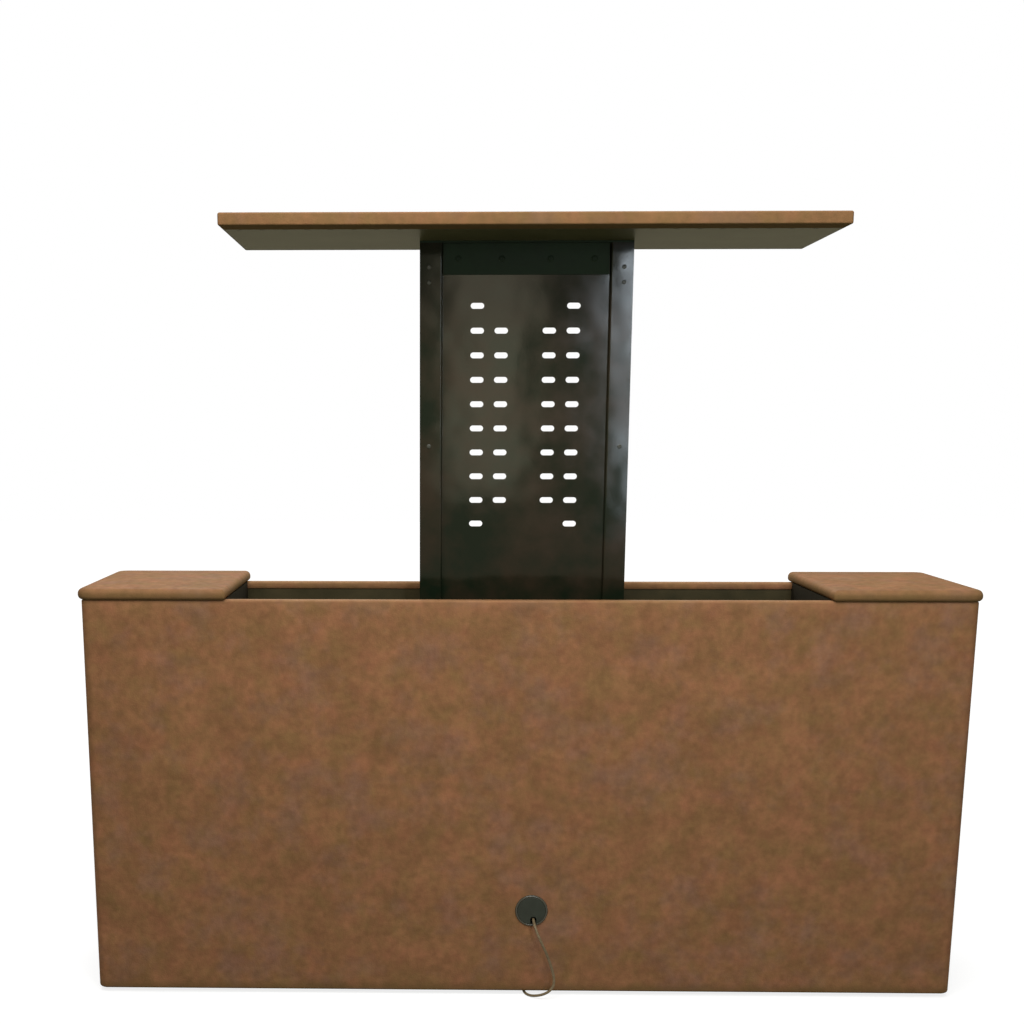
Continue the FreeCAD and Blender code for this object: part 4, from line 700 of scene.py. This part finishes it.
def grown(tree, source, material, name, values):
    """Run a geometry tree on an object and give the plain mesh."""
    grow = source.modifiers.new("grow", "NODES")
    grow.node_group = tree
    by_name = {item.name: item.identifier for item in tree.interface.items_tree
               if item.item_type == "SOCKET" and item.in_out == "INPUT"}
    for label, value in values.items():
        grow[by_name[label]] = value
    grow[by_name["Material"]] = material
    return baked(source, name)


def ended(tree, geometry, given, out):
    """Finish a tree: make its instances real and set their material."""
    real = add(tree, "GeometryNodeRealizeInstances", {"Geometry": geometry}, 0)
    coat = add(tree, "GeometryNodeSetMaterial", {"Geometry": real, "Material": given.outputs["Material"]}, 0)
    tree.links.new(coat, out.inputs[0])
    return tree


def raised(tree, shape, height):
    """A shape moved up by a height."""
    up = add(tree, "ShaderNodeCombineXYZ", {"Z": height}, 0)
    return add(tree, "GeometryNodeTransform", {"Geometry": shape, "Translation": up}, 0)


def fastener_tree():
    """Round-headed screws with a cross recess, one at each point, their shanks along a given way."""
    tree, given, out = new_tree("fasteners", [
        ("Head Radius", "Float", 0.0045), ("Head Height", "Float", 0.0018), ("Shank Radius", "Float", 0.002),
        ("Shank Length", "Float", 0.008), ("Turn", "Vector", (0, 0, 0)), ("Material", "Material", None)])
    wide, high, long = [given.outputs[name] for name in ("Head Radius", "Head Height", "Shank Length")]
    part = {name: add(tree, "ShaderNodeMath", {0: whole, 1: share}, 0, operation="MULTIPLY")
            for name, whole, share in (
                ("skirt", high, 0.45), ("skirt middle", high, 0.225), ("dome", high, 0.55),
                ("dome top", wide, 0.62), ("shank middle", long, -0.499), ("slot length", wide, 1.1),
                ("slot width", wide, 0.22), ("slot depth", high, 1.1))}
    skirt = add(tree, "GeometryNodeMeshCylinder", {"Vertices": 20, "Radius": wide, "Depth": part["skirt"]}, 0)
    dome = add(tree, "GeometryNodeMeshCone", {"Vertices": 20, "Radius Top": part["dome top"],
                                              "Radius Bottom": wide, "Depth": part["dome"]}, 0)
    shank = add(tree, "GeometryNodeMeshCylinder", {"Vertices": 12, "Radius": given.outputs["Shank Radius"],
                                                   "Depth": long}, 0)
    body = add(tree, "GeometryNodeMeshBoolean", operation="UNION", solver="EXACT")
    for shape, height in ((skirt, "skirt middle"), (dome, "skirt"), (shank, "shank middle")):
        tree.links.new(raised(tree, shape, part[height]), body.inputs["Mesh 2"])
    slot = add(tree, "ShaderNodeCombineXYZ", {"X": part["slot length"], "Y": part["slot width"],
                                              "Z": part["slot depth"]}, 0)
    bar = raised(tree, add(tree, "GeometryNodeMeshCube", {"Size": slot}, 0), high)
    other = add(tree, "GeometryNodeTransform", {"Geometry": bar, "Rotation": (0, 0, math.pi / 2)}, 0)
    recess = add(tree, "GeometryNodeMeshBoolean", {"Mesh 1": body.outputs["Mesh"]}, operation="DIFFERENCE",
                 solver="EXACT")
    for shape in (bar, other):
        tree.links.new(shape, recess.inputs["Mesh 2"])
    turned = add(tree, "FunctionNodeEulerToRotation", {"Euler": given.outputs["Turn"]}, 0)
    spin = add(tree, "FunctionNodeRandomValue", {"Min": (0, 0, 0), "Max": (0, 0, 1.5), "Seed": 5}, "Value",
               data_type="FLOAT_VECTOR")
    spun = add(tree, "FunctionNodeEulerToRotation", {"Euler": spin}, 0)
    both = add(tree, "FunctionNodeRotateRotation", {"Rotation": turned, "Rotate By": spun}, 0,
               rotation_space="LOCAL")
    placed = add(tree, "GeometryNodeInstanceOnPoints", {
        "Points": given.outputs["Geometry"], "Instance": recess.outputs["Mesh"], "Rotation": both}, 0)
    return ended(tree, placed, given, out)


def staple_tree():
    """Staple crowns laid end to end, a pitch apart, along a line."""
    tree, given, out = new_tree("staples", [("Pitch", "Float", 0.045), ("Crown", "Float", 0.010),
                                            ("Wire", "Float", 0.0004), ("Material", "Material", None)])
    line = add(tree, "GeometryNodeMeshToCurve", {"Mesh": given.outputs["Geometry"]}, 0)
    spaced = add(tree, "GeometryNodeResampleCurve", {"Curve": line, "Length": given.outputs["Pitch"]}, 0,
                 mode="LENGTH")
    crown = add(tree, "GeometryNodeMeshCylinder", {"Vertices": 8, "Radius": given.outputs["Wire"],
                                                   "Depth": given.outputs["Crown"]}, 0)
    tangent = add(tree, "GeometryNodeInputTangent", None, 0)
    turned = add(tree, "FunctionNodeAlignRotationToVector", {"Vector": tangent}, 0, axis="Z")
    placed = add(tree, "GeometryNodeInstanceOnPoints", {"Points": spaced, "Instance": crown,
                                                        "Rotation": turned}, 0)
    return ended(tree, placed, given, out)


def rib_tree():
    """A tapering sleeve with a row of ribs that grow smaller along it."""
    tree, given, out = new_tree("ribs", [
        ("Count", "Int", 6), ("Large", "Float", 0.006), ("Small", "Float", 0.0038), ("Length", "Float", 0.02),
        ("Sleeve", "Float", 0.0215), ("Material", "Material", None)])
    last = add(tree, "ShaderNodeCombineXYZ", {"Z": given.outputs["Length"]}, 0)
    row = add(tree, "GeometryNodeMeshLine", {"Count": given.outputs["Count"], "Offset": last}, 0,
              mode="END_POINTS")
    disc = add(tree, "GeometryNodeMeshCone", {"Vertices": 20, "Radius Top": 0.93, "Radius Bottom": 1.0,
                                              "Depth": 0.0022}, 0)
    place = add(tree, "GeometryNodeInputIndex", None, 0)
    share = add(tree, "ShaderNodeMapRange", {
        "Value": place, "From Max": given.outputs["Count"], "To Min": given.outputs["Large"],
        "To Max": given.outputs["Small"]}, 0)
    size = add(tree, "ShaderNodeCombineXYZ", {"X": share, "Y": share, "Z": 1.0}, 0)
    rings = add(tree, "GeometryNodeInstanceOnPoints", {"Points": row, "Instance": disc, "Scale": size}, 0)
    core = add(tree, "GeometryNodeMeshCone", {"Vertices": 20, "Radius Top": 0.0034, "Radius Bottom": 0.0050,
                                              "Depth": given.outputs["Sleeve"]}, 0)
    both = add(tree, "GeometryNodeJoinGeometry")
    for shape in (rings, core):
        tree.links.new(shape, both.inputs[0])
    return ended(tree, both.outputs[0], given, out)


# ---------------------------------------------------------------- fasteners

def solid_boxes(node):
    """The lowest and highest corners of each separate solid of a node."""
    work = bmesh.new()
    work.from_mesh(node.data)
    bmesh.ops.remove_doubles(work, verts=work.verts, dist=1e-5)
    left = set(work.verts)
    boxes = []
    while left:
        stack = [left.pop()]
        group = []
        while stack:
            vert = stack.pop()
            group.append(vert.co.copy())
            beside = {edge.other_vert(vert) for edge in vert.link_edges} & left
            left -= beside
            stack += beside
        boxes.append([Vector([pick(co[axis] for co in group) for axis in range(3)]) for pick in (min, max)])
    work.free()
    return sorted(boxes, key=lambda pair: tuple(round(value, 5) for value in pair[0]))


FASTENERS = {
    # node: body, the shank's way, head radius, head height, shank radius, slot
    "strip_screws": ("carriage", (0, 1, 0), 4.5, 1.8, 2.0, "black_oxide"),
    "bracket_bolts": ("carriage", (0, 1, 0), 6.5, 3.0, 3.0, "black_oxide"),
    "lid_screws": ("carriage", (0, 0, 1), 4.5, 1.8, 2.0, "zinc"),
    "tube_bolts": ("carriage", (0, 0, 1), 4.5, 1.8, 2.0, "zinc"),
    "frame_bolts": ("cabinet", (0, 1, 0), 6.5, 3.0, 3.0, "zinc"),
    "base_screws": ("cabinet", (0, 0, -1), 4.5, 1.8, 2.0, "zinc"),
}
TURNS = {(0, 1, 0): (math.pi / 2, 0, 0), (0, 0, 1): (math.pi, 0, 0), (0, 0, -1): (0, 0, 0)}


def make_fasteners():
    """A round-headed screw or bolt in the place of each solid of the fastener nodes."""
    tree = fastener_tree()
    for node, (body, way, head, high, shank, slot) in FASTENERS.items():
        metal = NODE_FINISHES.get(node, SLOT_FINISHES[slot])()
        axis = 1 if way[1] else 2
        sign = way[axis]
        seats = []
        for low, top in solid_boxes(frame["nodes"][node]):
            seat = (low + top) / 2
            seat[axis] = (low[axis] if sign > 0 else top[axis]) + sign * high * MM
            seats.append(seat)
            length = top[axis] - low[axis] - high * MM
        points = loose_object(node + "_places", raw_mesh(node + "_places", seats))
        mesh = grown(tree, points, metal, node + "_set", {
            "Head Radius": head * MM, "Head Height": high * MM, "Shank Radius": shank * MM,
            "Shank Length": length, "Turn": TURNS[way]})
        item = settle(node + "_set", mesh, body, metal, 30)
        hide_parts(node)


# ---------------------------------------------------------------- cord

# The cord's route and its coil, in millimetres and degrees.
CORD_HANG = ((21.5, -172.5, 170), (21.7, -184.9, 169.4), (23.1, -197.1, 165.1), (26.4, -205.8, 155.7),
             (32, -209.5, 143.6), (38, -209, 130), (44.5, -205, 114.7), (51, -200, 98.6), (57, -196.5, 80.7),
             (62.5, -194.5, 62.9), (66, -194.5, 45.9), (64.4, -196.5, 31.5), (56, -198, 20.4),
             (42.5, -196, 12.2), (27.5, -189.5, 6.5), (14.5, -179.5, 3.2))
CORD_FLOOR = ((6.5, -165.8), (3.5, -144.1), (6.5, -110), (13.5, -63.2), (15.5, -7.8), (8.5, 48.5),
              (-0.5, 101.9), (1.5, 150.7), (12.5, 190), (19.5, 219))
CORD_RADIUS = 2.75
COIL_MIDDLE = 33.0
# How finely the coil is drawn, where its last turn ends, where each shift to the next place starts and how
# long it takes, and where the strap goes round it.
TURN_STEP = 20
TURN_LAST = 1890
SHIFT_FIRST = 260
SHIFT_EVERY = 320
SHIFT_LONG = 80
TIE_TURN = 235


def coil_centre():
    """Middle of the coil in plan, in millimetres."""
    low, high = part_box("mains_cord_coil")
    return [(low[axis] + high[axis]) / 2 / MM for axis in (0, 1)]


def coil_turns(centre):
    """Six turns, three wide and two high; each shift to the next place comes a little before the one
    below it."""
    wide = 2 * CORD_RADIUS
    rows = [(COIL_MIDDLE + aside * wide, layer)
            for aside, layer in ((1, 0), (0, 0), (-1, 0), (-1, 1), (0, 1), (1, 1))]
    inside = 0.75 + 0.25 * math.cos(math.radians(TURN_STEP))
    points = []
    for degrees in range(0, TURN_LAST + 1, TURN_STEP):
        radius, layer = rows[0]
        for number in range(1, len(rows)):
            share = (degrees - SHIFT_FIRST - SHIFT_EVERY * (number - 1)) / SHIFT_LONG
            share = max(0.0, min(1.0, share))
            share = share * share * (3 - 2 * share)
            radius += (rows[number][0] - rows[number - 1][0]) * share
            layer += (rows[number][1] - rows[number - 1][1]) * share
        turn = math.radians(degrees)
        reach = radius / inside
        points.append((centre[0] + reach * math.cos(turn), centre[1] + reach * math.sin(turn),
                       CORD_RADIUS + wide * layer))
    return points


def make_cord():
    """The supply cord: out of the grommet, down the near side, under the chest, into a tied coil, to its
    plug."""
    centre = coil_centre()
    leave = centre[1] + COIL_MIDDLE + 2 * CORD_RADIUS
    points = list(CORD_HANG) + [(x, y, CORD_RADIUS) for x, y in CORD_FLOOR] + coil_turns(centre)
    points += [(centre[0] - back, leave, height) for back, height in ((10, 8.4), (20, 8.8), (32, 9))]
    line = bpy.data.curves.new("supply_cord", "CURVE")
    line.dimensions = "3D"
    spline = line.splines.new("NURBS")
    spline.points.add(len(points) - 1)
    for place, (x, y, z) in zip(spline.points, points):
        place.co = (x * MM, y * MM, z * MM, 1)
    spline.order_u = 3
    spline.use_endpoint_u = True
    spline.resolution_u = 6
    line.bevel_depth = CORD_RADIUS * MM
    line.bevel_resolution = 5
    line.use_fill_caps = True
    line.materials.append(cord_jacket())
    cord = loose_object("supply_cord", line)
    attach(cord, "cabinet")
    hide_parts("mains_cord", "mains_cord_coil")
    return cord


def block(low, high, radius, edge, arc=5):
    """Vertices and faces of a block with rounded corners and eased top and bottom edges."""
    plan = Plan((low[0], low[1]), (high[0], high[1]), [radius] * 4, step=1.0, arc=arc)
    rows = lower_round(edge, low[2], 3) + upper_round(edge, high[2], 3)
    return skinned([plan.loop(inset, level) for inset, level in rows], True, True)


def make_plug():
    """A moulded two-blade plug with a ribbed strain relief, on its side at the end of the cord."""
    low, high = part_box("mains_plug")
    blade_long, sleeve_long, rib_row, sunk = 0.0162, 0.0215, 0.0185, 0.002
    blade_apart, blade_thick, blade_wide, blade_edge = 0.00635, 0.00075, 0.00315, 0.0004
    body_low = (low[0] + blade_long, low[1], low[2])
    body_high = (high[0] - sleeve_long, high[1], high[2])
    middle_y, middle_z = (low[1] + high[1]) / 2, (low[2] + high[2]) / 2
    plug = settle("plug_body", raw_mesh("plug_body", *block(body_low, body_high, 0.005, 0.003)), "cabinet",
                  moulded_plastic())
    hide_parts("mains_plug")
    start = loose_object("relief_start", raw_mesh("relief_start", []))
    mesh = grown(rib_tree(), start, moulded_plastic(), "strain_relief",
                 {"Count": settings().trim.relief_ribs, "Length": rib_row, "Sleeve": sleeve_long})
    mesh.transform(Matrix.Translation((body_high[0] + 0.0008, middle_y, middle_z)) @
                   Matrix.Rotation(math.pi / 2, 4, "Y"))
    sleeve = settle("strain_relief", mesh, "cabinet", moulded_plastic())
    blades = []
    for y in (middle_y - blade_apart, middle_y + blade_apart):
        near = (low[0], y - blade_thick, middle_z - blade_wide)
        far = (body_low[0] + sunk, y + blade_thick, middle_z + blade_wide)
        blades.append(block(near, far, blade_edge, blade_edge, 2))
    pins = settle("plug_blades", raw_mesh("plug_blades", *joined_meshes(blades)), "cabinet",
                  blade_metal())
    return [plug, sleeve, pins]


def make_cord_tie():
    """A strap wrapped round the coil's six turns."""
    centre = coil_centre()
    turn = math.radians(TIE_TURN)
    out = Vector((math.cos(turn), math.sin(turn), 0))
    along = Vector((-math.sin(turn), math.cos(turn), 0))
    hub = Vector((centre[0], centre[1], 0)) * MM + out * COIL_MIDDLE * MM
    half, high, floor, fold, foot = 0.0087, 0.0112, 0.0002, 0.002, 0.0008
    section = ((-half, foot), (-half, high - fold), (-half + fold, high), (half - fold, high),
               (half, high - fold), (half, foot), (half - foot, floor), (-half + foot, floor))
    loops = [[hub + out * (x - math.copysign(gap, x)) + along * end + Vector((0, 0, z)) for x, z in section]
             for end, gap in ((-0.006, 0.0002), (-0.0055, 0.0), (0.0055, 0.0), (0.006, 0.0002))]
    strap = loose_object("cord_tie_form", raw_mesh("cord_tie_form", *skinned(loops)))
    wall = strap.modifiers.new("wall", "SOLIDIFY")
    wall.thickness, wall.offset = 0.0007, 1.0
    return settle("cord_tie", baked(strap, "cord_tie"), "cabinet", black_jacket())


# ---------------------------------------------------------------- grommet

def make_grommet():
    """The moulded ring with a rounded rim, and the sleeve behind it that goes through the board."""
    low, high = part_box("grommet_ring")
    centre = Vector(((low[0] + high[0]) / 2, 0, (low[2] + high[2]) / 2))
    outer, bore, sleeve = (high[0] - low[0]) / 2, 0.0295, 0.0315
    front = low[1]
    wall, deep, lip, count = front + 0.003, front + 0.027, 0.0030, 64
    section = [(bore, deep), (bore, front + 0.0012), (bore + 0.0003, front + 0.0005),
               (bore + 0.0010, front + 0.0001)]
    section += [(outer - inset, y) for inset, y in lower_round(lip, front)]
    section += [(outer, wall), (sleeve, wall), (sleeve, deep)]
    turns = [2 * math.pi * number / count for number in range(count)]
    loops = [[centre + Vector((radius * math.cos(turn), y, radius * math.sin(turn))) for turn in turns]
             for radius, y in section]
    mesh = raw_mesh("grommet_rim", *skinned(loops, closed=True))
    ring = settle("grommet_rim", mesh, "cabinet", ring_plastic())
    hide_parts("grommet_ring")


# ---------------------------------------------------------------- stage

CAMERA_PLACE = (-0.1716, -2.7678, 1.1792)
CAMERA_SHIFT = (0.0915, 0.1633)
FLOOR_REACH = 14.0
# How far from the middle the floor's lift to white starts, and where it is complete.
GLOW_NEAR, GLOW_FAR = 1.3, 4.5


def area_lamp(name, place, aim, size, power, tint="FFFFFF"):
    """A rectangular lamp that the camera doesn't see."""
    data = bpy.data.lights.new(name, "AREA")
    data.shape = "RECTANGLE"
    data.size, data.size_y = size
    data.energy = power
    data.color = colour(tint)[:3]
    lamp = loose_object(name, data)
    lamp.location = place
    lamp.rotation_euler = (Vector(aim) - Vector(place)).to_track_quat("-Z", "Y").to_euler()
    lamp.visible_camera = False


def seen_directly(tree):
    """1 for rays from the camera or off a mirror-like or clear surface, and the backdrop's colour for that
    ray: white, or in reflections that of the studio round it."""
    path = add(tree, "ShaderNodeLightPath")
    direct = path.outputs["Is Camera Ray"]
    for ray in ("Is Glossy Ray", "Is Transmission Ray"):
        direct = add(tree, "ShaderNodeMath", {0: direct, 1: path.outputs[ray]}, 0, operation="MAXIMUM")
    mirrored = colour(settings().stage.mirrored)
    backdrop = add(tree, "ShaderNodeMix", {0: path.outputs["Is Glossy Ray"], MIX_A: colour("FFFFFF"),
                                           MIX_B: mirrored}, MIX_OUT, data_type="RGBA")
    return direct, backdrop


def make_camera(use):
    """A camera at standing height in front of the cable side, shifted to frame the raised lid."""
    camera = bpy.data.cameras.new("camera")
    camera.lens = use.lens
    camera.sensor_width = 36.0
    camera.shift_x, camera.shift_y = CAMERA_SHIFT
    camera.clip_end = 60.0
    view = loose_object("camera", camera)
    view.location = CAMERA_PLACE
    view.rotation_euler = (math.pi / 2 - use.tilt, 0, use.turn)
    bpy.context.scene.camera = view


def make_world(use):
    """Soft light from all round, and the backdrop."""
    world = bpy.data.worlds.new("studio")
    bpy.context.scene.world = world
    world.use_nodes = True
    tree = world.node_tree
    tree.nodes.clear()
    soft = add(tree, "ShaderNodeBackground", {"Color": colour("FFFFFF"), "Strength": use.fill}, 0)
    direct, backdrop = seen_directly(tree)
    plain = add(tree, "ShaderNodeBackground", {"Color": backdrop, "Strength": 1.0}, 0)
    both = add(tree, "ShaderNodeMixShader", {0: direct, 1: soft, 2: plain}, 0)
    add(tree, "ShaderNodeOutputWorld", {"Surface": both})


def make_floor(use):
    """A pale matt floor that keeps the cabinet's shadow and fades to white away from it."""
    corners = [(x * FLOOR_REACH, y * FLOOR_REACH, 0) for x, y in ((-1, -1), (1, -1), (1, 1), (-1, 1))]
    floor = loose_object("floor", raw_mesh("floor", corners, [(0, 1, 2, 3)]))
    paint = bpy.data.materials.new("pale_floor")
    paint.use_nodes = True
    tree = paint.node_tree
    tree.nodes.clear()
    matt = add(tree, "ShaderNodeBsdfDiffuse", {"Color": colour("8E8E8C")}, 0)
    place = add(tree, "ShaderNodeTexCoord", None, "Object")
    far = add(tree, "ShaderNodeVectorMath", {0: place}, "Value", operation="LENGTH")
    lift = add(tree, "ShaderNodeMapRange", {"Value": far, "From Min": GLOW_NEAR, "From Max": GLOW_FAR,
                                            "To Min": use.floor_glow, "To Max": 1.0}, "Result")
    direct, backdrop = seen_directly(tree)
    glow = add(tree, "ShaderNodeEmission", {"Color": backdrop, "Strength": lift}, 0)
    lit = add(tree, "ShaderNodeAddShader", {0: matt, 1: glow}, 0)
    pick = add(tree, "ShaderNodeMixShader", {0: direct, 1: matt, 2: lit}, 0)
    add(tree, "ShaderNodeOutputMaterial", {"Surface": pick})
    floor.data.materials.append(paint)


def make_stage():
    """The camera, the world, the floor and the lamps."""
    use = settings().stage
    bpy.context.scene.view_settings.view_transform = "Standard"
    make_camera(use)
    make_world(use)
    make_floor(use)
    area_lamp("key_lamp", (-0.15, -1.6, 2.75), (0.0, 0.0, 0.75), (2.6, 1.0), use.key)
    area_lamp("back_lamp", (-0.3, 2.1, 2.9), (0.0, 0.0, 0.7), (2.6, 1.2), use.back)
    # The pan's web mirrors the wide panel, and its right strip the three narrow ones, brighter upwards.
    area_lamp("front_panel", (0.02, -2.85, 1.42), (0.02, 0.0, 1.42), (0.34, 1.05), use.front, "F0E8CA")
    for name, height, tall, share in (("strip_upper", 1.67, 0.44, 0.66), ("strip_middle", 1.27, 0.34, 0.32),
                                      ("strip_lower", 0.94, 0.30, 0.17)):
        area_lamp(name, (0.70, -2.80, height), (0.70, 0.0, height), (0.24, tall), use.strip * share, "DCE8F2")


# ---------------------------------------------------------------- operators

class CabinetOperator:
    bl_options = {"REGISTER", "UNDO"}


class LIFT_OT_stage(CabinetOperator, bpy.types.Operator):
    """Set up the camera, the lamps, the world and the floor"""
    bl_idname = "lift.stage"
    bl_label = "Stage"

    def execute(self, context):
        make_stage()
        return {"FINISHED"}


class LIFT_OT_cord(CabinetOperator, bpy.types.Operator):
    """Lay the supply cord with its coil, tie and plug"""
    bl_idname = "lift.cord"
    bl_label = "Supply cord"

    def execute(self, context):
        cord = make_cord()
        with_pieces = make_plug() + [make_cord_tie()]
        return {"FINISHED"}


class LIFT_OT_finishes(CabinetOperator, bpy.types.Operator):
    """Give every carried-over part the finish of its material slot"""
    bl_idname = "lift.finishes"
    bl_label = "Finishes"

    def execute(self, context):
        for part in frame["record"]["subparts"]:
            material = NODE_FINISHES.get(part["node"], SLOT_FINISHES[part["material_slot"]])()
            for slot in frame["nodes"][part["node"]].material_slots:
                slot.material = material
        return {"FINISHED"}


class LIFT_OT_leather(CabinetOperator, bpy.types.Operator):
    """Wrap the chest, the end caps and the lid in leather"""
    bl_idname = "lift.leather"
    bl_label = "Leather"

    def execute(self, context):
        crown = settings().leather.crown
        outer, inner = 0.028, 0.005
        make_chest_leather()
        for side, radii in (("left", [inner, inner, outer, outer]), ("right", [outer, outer, inner, inner])):
            padded_wrap("cap_leather_" + side, "cap_cover_" + side, "cabinet", radii, base=0.0085, top=0.012,
                        crown=crown, tuck=0.0, side_shade=0.6)
        padded_wrap("lid_leather", "lid_cover", "carriage", [inner] * 4, base=0.0035, top=0.004,
                    crown=crown / 2, tuck=0.0009, side_shade=0.4)
        make_lining()
        return {"FINISHED"}


class LIFT_OT_fasteners(CabinetOperator, bpy.types.Operator):
    """Set the screws and bolts"""
    bl_idname = "lift.fasteners"
    bl_label = "Fasteners"

    def execute(self, context):
        make_fasteners()
        return {"FINISHED"}


class LIFT_OT_grommet(CabinetOperator, bpy.types.Operator):
    """Fit the cable grommet's ring"""
    bl_idname = "lift.grommet"
    bl_label = "Grommet"

    def execute(self, context):
        make_grommet()
        return {"FINISHED"}


class LIFT_PT_panel(bpy.types.Panel):
    """Buttons for the cabinet's pieces, and its sizes and colours"""
    bl_idname = "LIFT_PT_panel"
    bl_label = "Lift Cabinet"
    bl_space_type = "VIEW_3D"
    bl_region_type = "UI"
    bl_category = "Lift Cabinet"

    def draw(self, context):
        for step in STEPS:
            self.layout.operator(step.bl_idname)
        use = settings()
        for group in (use.leather, use.steel, use.trim, use.stage):
            column = self.layout.box().column()
            for name in group.__annotations__:
                column.prop(group, name)


STEPS = (LIFT_OT_stage, LIFT_OT_cord, LIFT_OT_finishes, LIFT_OT_leather, LIFT_OT_fasteners, LIFT_OT_grommet)
GROUPS = (LeatherSettings, SteelSettings, TrimSettings, StageSettings, CabinetSettings)
CLASSES = GROUPS + STEPS + (LIFT_PT_panel,)


def register():
    for kind in CLASSES:
        bpy.utils.register_class(kind)
    bpy.types.Scene.lift_cabinet = PointerProperty(type=CabinetSettings)


def unregister():
    del bpy.types.Scene.lift_cabinet
    for kind in reversed(CLASSES):
        bpy.utils.unregister_class(kind)


def main():
    register()
    for step in STEPS:
        area, name = step.bl_idname.split(".")
        getattr(getattr(bpy.ops, area), name)()


if __name__ == "__main__":
    main()
